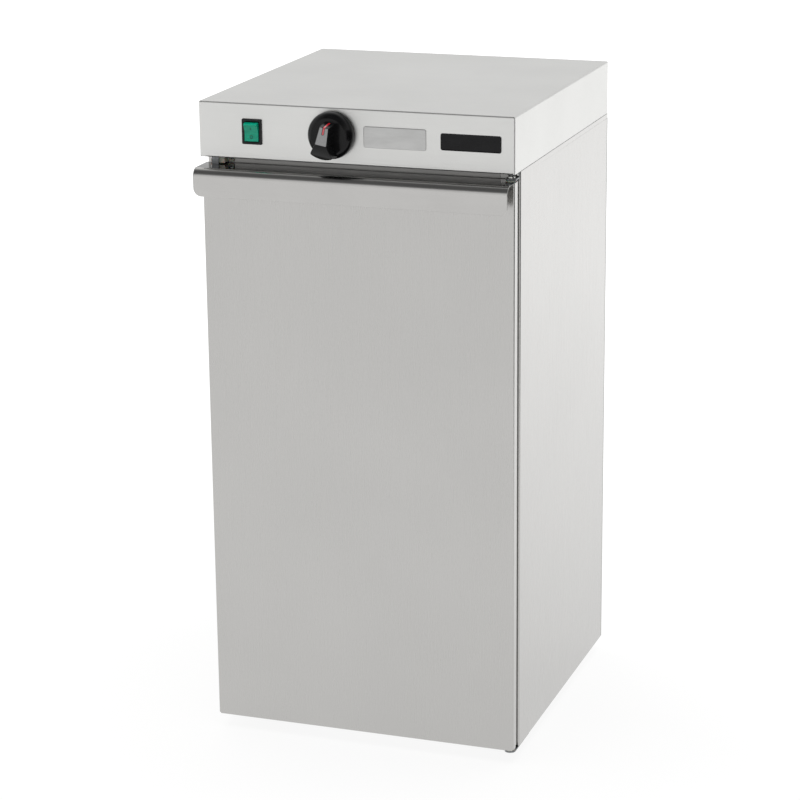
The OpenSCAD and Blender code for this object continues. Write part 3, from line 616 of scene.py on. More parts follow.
def screw_tree():
    """Pan-head screw with a cross recess on every point, its head along +Z before it is turned."""
    if "pan head screws" in bpy.data.node_groups:
        return bpy.data.node_groups["pan head screws"]
    tree, start, end = new_tree(
        "pan head screws",
        Head_radius=3.6 * MM,
        Head_height=HEAD_HEIGHT,
        Recess=2.2 * MM,
        Slot=0.8 * MM,
        Turn=(0.0, 0.0, 0.0),
    )
    # the head's rim, half its height deep
    low = add_node(
        tree,
        "ShaderNodeMath",
        links={0: start.outputs["Head height"]},
        values={1: 0.5},
        operation="MULTIPLY",
    )
    head = add_node(
        tree,
        "GeometryNodeMeshCylinder",
        links={"Radius": start.outputs["Head radius"], "Depth": low.outputs[0]},
        values={"Vertices": 32},
        fill_type="NGON",
    )
    shape, top = head.outputs["Mesh"], head.outputs["Top"]
    # the crown: three steps that rise less and draw in more, of the height left above the rim
    for rise, draw in ((0.22, 0.93), (0.17, 0.8), (0.11, 0.6)):
        step = add_node(
            tree,
            "ShaderNodeMath",
            links={0: start.outputs["Head height"]},
            values={1: rise},
            operation="MULTIPLY",
        )
        up = add_node(
            tree,
            "GeometryNodeExtrudeMesh",
            links={"Mesh": shape, "Selection": top, "Offset Scale": step.outputs[0]},
            values={"Individual": False},
        )
        scaled = add_node(
            tree,
            "GeometryNodeScaleElements",
            links={"Geometry": up.outputs["Mesh"], "Selection": up.outputs["Top"]},
            values={"Scale": draw},
        )
        shape, top = scaled.outputs[0], up.outputs["Top"]
    # the cross: two bars sunk from above
    bars = []
    for flip in (False, True):
        size = add_node(
            tree,
            "ShaderNodeCombineXYZ",
            links={
                int(flip): start.outputs["Recess"],
                int(not flip): start.outputs["Slot"],
                2: start.outputs["Head height"],
            },
        )
        bar = add_node(tree, "GeometryNodeMeshCube", links={"Size": size.outputs[0]})
        lift = add_node(tree, "ShaderNodeCombineXYZ", links={2: start.outputs["Head height"]})
        raised = add_node(
            tree,
            "GeometryNodeTransform",
            links={"Geometry": bar.outputs[0], "Translation": lift.outputs[0]},
        )
        bars.append(raised.outputs[0])
    cut = add_node(tree, "GeometryNodeMeshBoolean", links={0: shape}, operation="DIFFERENCE")
    for bar in bars:
        tree.links.new(bar, cut.inputs[1])
    spread = add_node(
        tree,
        "GeometryNodeInstanceOnPoints",
        links={
            "Points": start.outputs["Geometry"],
            "Instance": cut.outputs[0],
            "Rotation": start.outputs["Turn"],
        },
    )
    close_tree(tree, start, end, spread.outputs[0])
    return tree


def shelf_tree():
    """Wire shelf about the origin: a rim with drawn corners, and two cross rods under the bars."""
    tree, start, end = new_tree(
        "wire shelf",
        Width=344 * MM,
        Depth=350 * MM,
        Rim_radius=3 * MM,
        Bar_radius=1.5 * MM,
        Bars=17,
        Corner=12 * MM,
    )
    inputs = ("Width", "Depth", "Rim radius", "Bar radius", "Bars")
    sizes_of = {name: start.outputs[name] for name in inputs}
    # sizes that are a share of an input; the cross rods stand a third of the depth in from each end
    for label, source, share in (
        ("half width", "Width", 0.5),
        ("less half width", "Width", -0.5),
        ("half depth", "Depth", 0.5),
        ("less half depth", "Depth", -0.5),
        ("cross pitch", "Depth", 1 / 3),
        ("first cross", "Depth", -1 / 6),
        ("cross radius", "Rim radius", 0.8),
    ):
        part = add_node(
            tree, "ShaderNodeMath", links={0: sizes_of[source]}, values={1: share}, operation="MULTIPLY"
        )
        sizes_of[label] = part.outputs[0]
    gaps = add_node(tree, "ShaderNodeMath", links={0: sizes_of["Bars"]}, values={1: 1.0}, operation="ADD")
    pitch = add_node(
        tree, "ShaderNodeMath", links={0: sizes_of["Width"], 1: gaps.outputs[0]}, operation="DIVIDE"
    )
    sizes_of["pitch"] = pitch.outputs[0]
    left = add_node(
        tree,
        "ShaderNodeMath",
        links={0: sizes_of["pitch"], 1: sizes_of["half width"]},
        operation="SUBTRACT",
    )
    sizes_of["first bar"] = left.outputs[0]
    # places and steps, by the sizes of their X, Y and Z; the bars lie on the rim
    places = {}
    for label, parts in (
        ("front", {1: "less half depth"}),
        ("back", {1: "half depth"}),
        ("left", {0: "less half width"}),
        ("right", {0: "half width"}),
        ("first bar", {0: "first bar", 2: "Rim radius"}),
        ("bar step", {0: "pitch"}),
        ("first cross", {1: "first cross"}),
        ("cross step", {1: "cross pitch"}),
    ):
        point = add_node(
            tree, "ShaderNodeCombineXYZ", links={axis: sizes_of[size] for axis, size in parts.items()}
        )
        places[label] = point.outputs[0]
    rim = add_node(
        tree,
        "GeometryNodeCurvePrimitiveQuadrilateral",
        links={"Width": sizes_of["Width"], "Height": sizes_of["Depth"]},
    )
    filleted = add_node(
        tree,
        "GeometryNodeFilletCurve",
        links={"Curve": rim.outputs[0], "Radius": start.outputs["Corner"]},
        values={"Count": 8},
        mode="POLY",
    )
    bar_line, cross_line = [
        add_node(tree, "GeometryNodeCurvePrimitiveLine", links={"Start": places[a], "End": places[b]})
        for a, b in (("front", "back"), ("left", "right"))
    ]
    tubes = []
    for line, radius, sides in (
        (filleted, "Rim radius", 16),
        (bar_line, "Bar radius", 12),
        (cross_line, "cross radius", 14),
    ):
        profile = add_node(
            tree,
            "GeometryNodeCurvePrimitiveCircle",
            links={"Radius": sizes_of[radius]},
            values={"Resolution": sides},
        )
        tube = add_node(
            tree,
            "GeometryNodeCurveToMesh",
            links={"Curve": line.outputs[0], "Profile Curve": profile.outputs[0]},
            values={"Fill Caps": line is not filleted},
        )
        tubes.append(tube)
    joined = add_node(tree, "GeometryNodeJoinGeometry")
    tree.links.new(tubes[0].outputs[0], joined.inputs[0])
    for tube, first, step, count in (
        (tubes[1], "first bar", "bar step", sizes_of["Bars"]),
        (tubes[2], "first cross", "cross step", None),
    ):
        row = add_node(
            tree,
            "GeometryNodeMeshLine",
            links={"Start Location": places[first], "Offset": places[step]},
            values={"Count": 2},
        )
        if count:
            tree.links.new(count, row.inputs["Count"])
        rods = add_node(
            tree,
            "GeometryNodeInstanceOnPoints",
            links={"Points": row.outputs[0], "Instance": tube.outputs[0]},
        )
        tree.links.new(rods.outputs[0], joined.inputs[0])
    lift = add_node(
        tree,
        "GeometryNodeInstanceOnPoints",
        links={"Points": start.outputs["Geometry"], "Instance": joined.outputs[0]},
    )
    close_tree(tree, start, end, lift.outputs[0])
    return tree


# ------------------------------------------------------------------ settings


class CabinetLooks(bpy.types.PropertyGroup):
    """Colours of the cabinet's finishes, as sRGB hex values."""

    steel_hex: bpy.props.StringProperty(
        name="Casing sheet", description="Colour of the brushed door and sides", default="#BDBCBA"
    )
    cover_hex: bpy.props.StringProperty(
        name="Cover sheet", description="Colour of the brushed top cover", default="#DEDEDC"
    )
    nylon_hex: bpy.props.StringProperty(
        name="Black nylon", description="Colour of the switch housing and the gland", default="#121213"
    )
    knob_hex: bpy.props.StringProperty(
        name="Knob", description="Colour of the thermostat knob", default="#0B0B0C"
    )
    pointer_hex: bpy.props.StringProperty(
        name="Pointer", description="Colour of the knob's pointer line", default="#CC1B2C"
    )
    rocker_hex: bpy.props.StringProperty(
        name="Rocker", description="Colour of the rocker's lens", default="#10B08C"
    )
    silver_hex: bpy.props.StringProperty(
        name="Silver plate", description="Colour of the silver name plate", default="#BFBFBE"
    )
    black_hex: bpy.props.StringProperty(
        name="Black plate", description="Colour of the black name plate", default="#0D0D0F"
    )


class CabinetSizes(bpy.types.PropertyGroup):
    """Sizes of the sheet work that the frame's boxes don't give."""

    wall: bpy.props.FloatProperty(
        name="Sheet", description="Thickness of the casing's sheet", default=0.001, unit="LENGTH"
    )
    bend: bpy.props.FloatProperty(
        name="Bend", description="Outside radius of the sheet's bends", default=0.002, unit="LENGTH"
    )
    edge: bpy.props.FloatProperty(
        name="Eased edge", description="Rounding of a cut edge", default=0.0002, unit="LENGTH"
    )
    handle_bend: bpy.props.FloatProperty(
        name="Handle bend", description="Outside radius of the handle's bend", default=0.01, unit="LENGTH"
    )
    lip_height: bpy.props.FloatProperty(
        name="Lip", description="Height of the handle's lip", default=0.034, unit="LENGTH"
    )
    lip_corner: bpy.props.FloatProperty(
        name="Lip corner", description="Radius of the lip's corners", default=0.01, unit="LENGTH"
    )
    knob_turn: bpy.props.FloatProperty(
        name="Knob turn",
        description="Turn of the pointer from upright, clockwise",
        default=math.radians(10),
        unit="ROTATION",
    )


class StageSettings(bpy.types.PropertyGroup):
    """Light and floor of the picture."""

    room_light: bpy.props.FloatProperty(name="Room", description="Brightness of the room", default=1.0)
    key_light: bpy.props.FloatProperty(
        name="Key lamp", description="Power of the soft lamp at the front left", default=1.6, unit="POWER"
    )
    top_light: bpy.props.FloatProperty(
        name="Top lamp", description="Power of the wide lamp overhead", default=58.0, unit="POWER"
    )


def looks():
    """The cabinet's colours, as set in the panel."""
    return bpy.context.scene.cabinet_looks


def sizes():
    """The cabinet's sizes, as set in the panel."""
    return bpy.context.scene.cabinet_sizes


# ------------------------------------------------------------------ stage


class STAGE_OT_build(bpy.types.Operator):
    """Makes the camera, the lamps, the room and the floor"""

    bl_idname = "plate_warmer.stage"
    bl_label = "Stage"

    def execute(self, context):
        self.camera(context)
        self.room(context)
        self.floor(context)
        self.flag()
        self.lamps(context)
        context.scene.view_settings.view_transform = "Standard"
        return {"FINISHED"}

    def camera(self, context):
        """The photograph's view: where its lens stood and how it was turned, from the cabinet's edges."""
        data = bpy.data.cameras.new("camera")
        data.lens = 119.04
        data.sensor_width = 36.0
        data.clip_end = 60.0
        camera = bpy.data.objects.new("camera", data)
        stand = (1.0763, -3.1176, 1.3763)
        yaw, pitch, roll = 19.32, 16.45, -0.583
        camera.matrix_world = (
            Matrix.Translation(stand)
            @ Matrix.Rotation(math.radians(yaw), 4, "Z")
            @ Matrix.Rotation(math.radians(90 - pitch), 4, "X")
            @ Matrix.Rotation(math.radians(roll), 4, "Z")
        )
        context.scene.collection.objects.link(camera)
        context.scene.camera = camera

    def room(self, context):
        """A white sweep behind and around the cabinet, and the dark ceiling of a studio in front of it.
        The camera sees only the white."""
        world = bpy.data.worlds.new("studio")
        context.scene.world = world
        world.use_nodes = True
        tree = world.node_tree
        direction = add_node(tree, "ShaderNodeTexCoord")
        # height of a direction, less its turn to the back: small on the sweep, large overhead in front
        height = add_node(
            tree,
            "ShaderNodeVectorMath",
            links={0: direction.outputs["Generated"]},
            values={1: (0, -0.6, 1)},
            operation="DOT_PRODUCT",
        )
        shade = add_node(
            tree,
            "ShaderNodeMapRange",
            links={0: height.outputs["Value"]},
            values={"From Min": 0.55, "From Max": 1.02, "To Min": 0.9, "To Max": 0.12},
        )
        path = add_node(tree, "ShaderNodeLightPath")
        seen = add_node(
            tree,
            "ShaderNodeMix",
            links={0: path.outputs["Is Camera Ray"], 2: shade.outputs[0]},
            values={3: 1.0},
            data_type="FLOAT",
        )
        background = tree.nodes["Background"]
        background.inputs["Color"].default_value = (1, 1, 1, 1)
        power = add_node(
            tree,
            "ShaderNodeMath",
            links={0: seen.outputs[0]},
            values={1: context.scene.stage_settings.room_light},
            operation="MULTIPLY",
        )
        tree.links.new(power.outputs[0], background.inputs["Strength"])

    def floor(self, context):
        """White paper floor: it keeps the shadow near the cabinet, and is the sweep's white further off."""
        material = bpy.data.materials.new("white paper")
        material.use_nodes = True
        tree = material.node_tree
        paper = tree.nodes["Principled BSDF"]
        paper.inputs["Base Color"].default_value = linear("#F4F4F3")
        paper.inputs["Roughness"].default_value = 0.9
        paper.inputs["Specular IOR Level"].default_value = 0.2
        coordinates = add_node(tree, "ShaderNodeTexCoord")
        # the sweep behind the cabinet is lit more strongly than the floor before it
        backwards = add_node(
            tree,
            "ShaderNodeVectorMath",
            links={0: coordinates.outputs["Object"]},
            values={1: (0.35, 0.94, 0)},
            operation="DOT_PRODUCT",
        )
        strength = add_node(
            tree,
            "ShaderNodeMapRange",
            links={0: backwards.outputs["Value"]},
            values={"From Min": 0.1, "From Max": 2.6, "To Min": 1.04, "To Max": 1.35},
        )
        white = add_node(tree, "ShaderNodeEmission", links={"Strength": strength.outputs[0]})
        distance = add_node(
            tree, "ShaderNodeVectorMath", links={0: coordinates.outputs["Object"]}, operation="LENGTH"
        )
        share = add_node(
            tree,
            "ShaderNodeMapRange",
            links={0: distance.outputs["Value"]},
            values={"From Min": 0.2, "From Max": 1.1, "To Min": 0.86, "To Max": 1.0},
            interpolation_type="SMOOTHSTEP",
        )
        # what the camera, a mirror or glass sees of it is the sweep's white, by that share
        path = add_node(tree, "ShaderNodeLightPath")
        factor = path.outputs["Is Camera Ray"]
        for source, operation in (
            (path.outputs["Is Glossy Ray"], "MAXIMUM"),
            (path.outputs["Is Transmission Ray"], "MAXIMUM"),
            (share.outputs[0], "MULTIPLY"),
        ):
            step = add_node(tree, "ShaderNodeMath", links={0: factor, 1: source}, operation=operation)
            factor = step.outputs[0]
        mixed = add_node(
            tree, "ShaderNodeMixShader", links={0: factor, 1: paper.outputs[0], 2: white.outputs[0]}
        )
        tree.links.new(mixed.outputs[0], tree.nodes["Material Output"].inputs[0])
        bm = bmesh.new()
        bmesh.ops.create_circle(bm, cap_ends=True, segments=96, radius=14.0)
        floor = new_object("floor", bm, material, outwards=False)
        floor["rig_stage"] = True

    def flag(self):
        """Black card out of view at the right, which draws the upright edges as grey lines."""
        material = bpy.data.materials.new("black card")
        material.use_nodes = True
        card = material.node_tree.nodes["Principled BSDF"]
        card.inputs["Base Color"].default_value = linear("#242424")
        card.inputs["Roughness"].default_value = 0.9
        bm = bmesh.new()
        corners = ((1.7, -1.9, 0), (1.9, 0.5, 0), (1.9, 0.5, 1.3), (1.7, -1.9, 1.3))
        bm.faces.new([bm.verts.new(p) for p in corners])
        flag = new_object("flag", bm, material, outwards=False)
        flag.visible_camera = False
        flag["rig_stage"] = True

    def lamps(self, context):
        """A soft box at the front left, and a wide one overhead."""
        settings = context.scene.stage_settings
        plan = (
            ("key lamp", (-0.97, -3.2, 1.45), (0, -0.2, 0.78), (1.6, 1.1), settings.key_light, True),
            ("top lamp", (0, -0.4, 3.2), (0, 0, 0), (3.0, 3.0), settings.top_light, False),
        )
        for name, where, target, size, power, mirrored in plan:
            data = bpy.data.lights.new(name, "AREA")
            data.shape = "RECTANGLE"
            data.size, data.size_y = size
            data.energy = power
            lamp = bpy.data.objects.new(name, data)
            lamp.location = where
            aim = Vector(target) - Vector(where)
            lamp.rotation_euler = aim.to_track_quat("-Z", "Y").to_euler()
            lamp.visible_glossy = mirrored
            context.scene.collection.objects.link(lamp)


# ------------------------------------------------------------------ casing


class CASING_OT_build(bpy.types.Operator):
    """Makes the bent side panels and finishes the rest of the outer case"""

    bl_idname = "plate_warmer.casing"
    bl_label = "Casing"

    def execute(self, context):
        for side, name in ((1, "side_panel_right"), (-1, "side_panel_left")):
            self.side_panel(name, side)
        refine(upright_grain(), sizes().edge, "back_panel")
        refine(rolled_sheet(), sizes().edge, "base_tray", "front_rail_top", "front_rail_bottom")
        refine(galvanised_sheet(), sizes().edge, "top_deck")
        return {"FINISHED"}

    def side_panel(self, name, side):
        """One sheet with a front flange that frames the door and a rear flange for the back panel."""
        low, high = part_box(name)
        outer = high.x if side > 0 else -low.x
        inner = low.x if side > 0 else -high.x
        rear_flange = 19 * MM
        flange_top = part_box("top_deck")[0].z
        r = sizes().bend
        front = [(inner, low.y)] + arc((outer - r, low.y + r), r, -90, 0)
        whole = front + arc((outer - r, high.y - r), r, 0, 90) + [(outer - rear_flange, high.y)]
        bm = bmesh.new()
        for section, bottom, top in (
            (whole, low.z, flange_top), (front + [(outer, high.y)], flange_top, high.z)
        ):
            rows = [[(side * x, y, z) for x, y in section[::side]] for z in (bottom, top)]
            lay_faces(bm, rows)
        panel = new_object("bent_" + name, bm, upright_grain(), outwards=False)
        thicken(panel, sizes().wall)
        ease(panel, sizes().edge)
        place(panel, "cabinet", "stainless_sheet", name)


class COVER_OT_build(bpy.types.Operator):
    """Makes the folded top cover with its rounded edges, its return flange and its holes"""

    bl_idname = "plate_warmer.cover"
    bl_label = "Top cover"

    def execute(self, context):
        low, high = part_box("top_cover")
        r, wall = sizes().bend, sizes().wall
        centre = middle("top_cover")
        width, depth = high.x - low.x, high.y - low.y
        steps = 6

        def ring(inset, z):
            loop = rounded_loop(width - 2 * inset, depth - 2 * inset, max(r - inset, 0), steps)
            return [(centre.x + x, centre.y + y, z) for x, y in loop]

        # the skirt, without its front below the lower bend, then the rim and the flat top
        front_edge = 3 * (steps + 1) - 1
        rows = [ring(0, low.z), ring(0, low.z + r), ring(0, high.z - r)]
        for angle in range(15, 91, 15):
            a = math.radians(angle)
            rows.append(ring(r - r * math.cos(a), high.z - r + r * math.sin(a)))
        bm = bmesh.new()
        grid = lay_faces(bm, rows, around=True, keep=lambda i, j: i > 0 or j != front_edge)
        bm.faces.new(grid[-1])
        # the front's lower bend and the flange that it turns back under the overhang
        flange_back = low.y + 40 * MM
        section = arc((low.y + r, low.z + r), r, 180, 270, steps)[::-1]
        section = [(flange_back, low.z)] + section
        ends = (low.x + r, high.x - r)
        lay_faces(bm, [[(x, y, z) for x in ends] for y, z in section])
        cover = new_object("folded_top_cover", bm, level_grain(), outwards=False)
        thicken(cover, wall)
        settle(cover)
        drill(cover, self.holes(low, high))
        ease(cover, sizes().edge, angle=50)
        place(cover, "cabinet", "stainless_sheet", "top_cover")
        return {"FINISHED"}

    def holes(self, low, high):
        """What is cut out of the cover: the shaft's hole, the switch's opening and the gland's hole."""
        shaft, housing, gland = map(middle, ("thermostat_shaft", "switch_housing", "cable_gland"))
        shaft_r, gland_r, through = 5 * MM, 10 * MM, 8 * MM
        opening = Vector((10.9 * MM, through / 2, 13.9 * MM))
        bm = bmesh.new()
        rod(bm, (shaft.x, low.y, shaft.z), (0, 1, 0), shaft_r, through)
        switch = Vector((housing.x, low.y, housing.z))
        block(bm, switch - opening, switch + opening)
        rod(bm, (gland.x, high.y, gland.z), (0, 1, 0), gland_r, through)
        return bm


# ------------------------------------------------------------------ door


class DOOR_OT_build(bpy.types.Operator):
    """Makes the door's skin, the inner pan with its folded handle, and the seal"""

    bl_idname = "plate_warmer.door"
    bl_label = "Door"

    def execute(self, context):
        self.skin()
        self.pan()
        self.seal()
        dress(mineral_wool(), "door_insulation")
        refine(natural_nylon(), sizes().edge, "hinge_bushes")
        refine(dull_zinc(), sizes().edge, "catch_strike")
        return {"FINISHED"}

    def skin(self):
        """One sheet: the front, its bottom flange, and its side edges turned back over the pan."""
        low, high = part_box("door_skin")
        r, wall = sizes().bend, sizes().wall
        front, half = low.y, high.x
        straight = half - r
        side_return = 10 * MM
        section = [(high.y, low.z)] + arc((front + r, low.z + r), r, 270, 180) + [(front, high.z)]
        bm = bmesh.new()
        lay_faces(bm, [[(x, y, z) for x in (-straight, straight)] for y, z in section])
        side = arc((straight, front + r), r, -90, 0) + [(half, front + side_return)]
        for sign in (1, -1):
            lay_faces(bm, [[(sign * x, y, z) for x, y in side[::sign]] for z in (low.z + r, high.z)])
        skin = new_object("folded_door_skin", bm, upright_grain(), outwards=False)
        thicken(skin, wall)
        ease(skin, sizes().edge, angle=50)
        place(skin, "door", "stainless_sheet", "door_skin")

    def pan(self):
        """Inner pan: bottom flange, inner face, and the top, which runs forward over the skin and folds
        down as the handle. The pan's sides show as the second strip along the door's edge."""
        low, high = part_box("door_pan")
        r, wall = sizes().bend, sizes().wall
        fold, lip, corner = sizes().handle_bend, sizes().lip_height, sizes().lip_corner
        half = high.x
        side_x = half - wall
        straight = side_x - r
        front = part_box("door_skin")[0].y + 2.5 * MM
        section = [(front, low.z)] + arc((high.y - r, low.z + r), r, 270, 360)
        section += arc((high.y - r, high.z - r), r, 0, 90)
        turn = len(section) - 1
        section += arc((low.y + fold, high.z - fold), fold, 90, 180, 12) + [(low.y, high.z - lip)]

        def foot_of_lip(x):
            over = max(0.0, abs(x) - (half - corner))
            return high.z - lip + corner - math.sqrt(corner**2 - over**2)

        bends = [half - corner + corner * math.sin(math.radians(a)) for a in range(0, 91, 10)]
        right = sorted(bends + [straight])
        across = right[::-1] + [-x for x in right]
        rows = [[(x, y, z) for x in across] for y, z in section]
        rows[-1] = [(x, low.y, foot_of_lip(x)) for x in across]

        def inside(i, j):
            return i >= turn or max(abs(across[j]), abs(across[j + 1])) <= straight + MERGE

        bm = bmesh.new()
        lay_faces(bm, rows, keep=inside)
        # the sides, whose flat part reaches up to the underside of the top
        side = [(side_x, front)] + arc((straight, high.y - r), r, 0, 90)
        heights = (low.z + r, high.z - r, high.z - wall)
        for sign in (1, -1):
            rows = [[(sign * x, y, z) for x, y in side[::sign]] for z in heights]
            flat = 0 if sign > 0 else len(side) - 2
            lay_faces(bm, rows, keep=lambda i, j: i == 0 or j == flat)
        pan = new_object("folded_door_pan", bm, folded_sheet(), outwards=False)
        # the flat top faces take the second sheet, painted dark: painted shade for the gap that they mirror
        pan.data.materials.append(painted_dark_top_sheet())
        for polygon in pan.data.polygons:
            polygon.material_index = int(polygon.center.z > high.z - 10 * MERGE)
        thicken(pan, wall)
        ease(pan, 0.45 * wall, 3, angle=50)
        place(pan, "door", "stainless_sheet", "door_pan")

    def seal(self):
        """Silicone seal round the opening: a flat foot with a round bead, mitred at its corners."""
        low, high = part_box("door_gasket")
        width = 10 * MM
        depth = high.y - low.y
        # (across, up) as shares of the width and the depth
        bead = [(0.0, 0.0), (0.0, 0.35), (0.14, 0.45)]
        for angle in range(180, -1, -20):
            a = math.radians(angle)
            bead.append((0.5 + 0.3 * math.cos(a), 0.45 + 0.55 * math.sin(a)))
        bead += [(0.86, 0.45), (1.0, 0.35), (1.0, 0.0)]
        bm = bmesh.new()
        rows = []
        for sx, sz in ((-1, -1), (1, -1), (1, 1), (-1, 1), (-1, -1)):
            x, z = (high.x if sx > 0 else low.x), (high.z if sz > 0 else low.z)
            rows.append(
                [
                    (x - sx * inset * width, low.y + up * depth, z - sz * inset * width)
                    for inset, up in bead
                ]
            )
        lay_faces(bm, rows, around=True)
        seal = new_object("silicone_door_seal", bm, silicone_seal())
        ease(seal, 0.1 * MM, angle=50)
        place(seal, "door", "rubber", "door_gasket")


class FITTINGS_OT_build(bpy.types.Operator):
    """Finishes the hinge brackets and pins, the catch, and sets every screw"""

    bl_idname = "plate_warmer.fittings"
    bl_label = "Hinges, catch and screws"

    def execute(self, context):
        refine(dull_zinc(), sizes().edge, "hinge_bracket_top", "hinge_bracket_bottom")
        refine(zinc_plate(), 0.4 * MM, "hinge_pin_top", "hinge_pin_bottom")
        refine(natural_nylon(), 0.3 * MM, "catch_housing")
        refine(dull_steel(), sizes().edge, "catch_magnet")
        refine(zinc_plate(), 0.3 * MM, "foot_bolts")
        self.back_screws()
        self.bracket_screws()
        self.thermostat_screws()
        return {"FINISHED"}

    def heads(self, name, seats, tilt, *nodes, **head_sizes):
        """Pan heads on the points where they sit. tilt turns them about X, from upright, in degrees."""
        turn = math.radians(tilt)
        up = Vector((0, -math.sin(turn), math.cos(turn)))
        # a head's rim is half its height deep, and grows from its middle
        points = [seat + up * HEAD_HEIGHT / 4 for seat in seats]
        piece = grow(name, screw_tree(), points, zinc_plate(), Turn=(turn, 0, 0), **head_sizes)
        place(piece, "cabinet", "bright_steel", *nodes)

    def shanks(self, name, seats, into, radius, length):
        """Plain shanks from the seats on into what is screwed, so that each screw is whole."""
        bm = bmesh.new()
        for seat in seats:
            rod(bm, seat + Vector(into) * length / 2, into, radius, length, 16)
        piece = new_object(name, bm, zinc_plate())
        ease(piece, sizes().edge)
        place(piece, "cabinet", "bright_steel")

    def back_screws(self):
        """Eight screws down the back panel's edges and three along the cover's back."""
        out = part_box("back_panel")[1].y
        seats = [Vector((c.x, out, c.z)) for c in islands("panel_screws")]
        self.heads("back_screw_heads", seats, -90, "panel_screws")
        self.shanks("back_screw_shanks", seats, (0, -1, 0), 2 * MM, 8 * MM)

    def bracket_screws(self):
        """Screws of the upper hinge bracket and of the catch, and the two bolts of the lower bracket."""
        found = islands("bracket_screws")
        half_way = middle("side_panel_right").z
        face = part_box("hinge_bracket_top")[1].y - 2 * MM
        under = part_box("hinge_bracket_bottom")[0].z
        front = [Vector((c.x, face, c.z)) for c in found if c.z > half_way]
        lower = [Vector((c.x, c.y, under)) for c in found if c.z <= half_way]
        self.heads("front_screw_heads", front, 90, "bracket_screws", Head_radius=2.8 * MM)
        bolt = {"Head_radius": 4.5 * MM, "Recess": 3.6 * MM}
        self.heads("lower_bracket_bolt_heads", lower, 180, **bolt)
        self.shanks("front_screw_shanks", front, (0, 1, 0), 2 * MM, 7 * MM)
        self.shanks("lower_bracket_bolt_shanks", lower, (0, 0, 1), 2.5 * MM, 8.5 * MM)

    def thermostat_screws(self):
        """Two screws under the knob."""
        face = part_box("top_cover")[0].y
        seats = [Vector((c.x, face, c.z)) for c in islands("thermostat_screws")]
        self.heads("thermostat_screw_heads", seats, 90, "thermostat_screws")


def islands(node):
    """Middles of the separate solids in a node of the frame, from left to right and bottom to top."""
    bm = bmesh.new()
    bm.from_mesh(frame["nodes"][node].data)
    bmesh.ops.remove_doubles(bm, verts=bm.verts, dist=MERGE)
    left, middles = set(bm.verts), []
    while left:
        group, edge = set(), [left.pop()]
        while edge:
            vert = edge.pop()
            group.add(vert)
            for link in vert.link_edges:
                other = link.other_vert(vert)
                if other in left:
                    left.remove(other)
                    edge.append(other)
        low = Vector([min(v.co[i] for v in group) for i in range(3)])
        high = Vector([max(v.co[i] for v in group) for i in range(3)])
        middles.append((low + high) / 2)
    bm.free()
    return sorted(middles, key=lambda c: (round(c.x, 4), round(c.z, 4), round(c.y, 4)))


# ------------------------------------------------------------------ controls


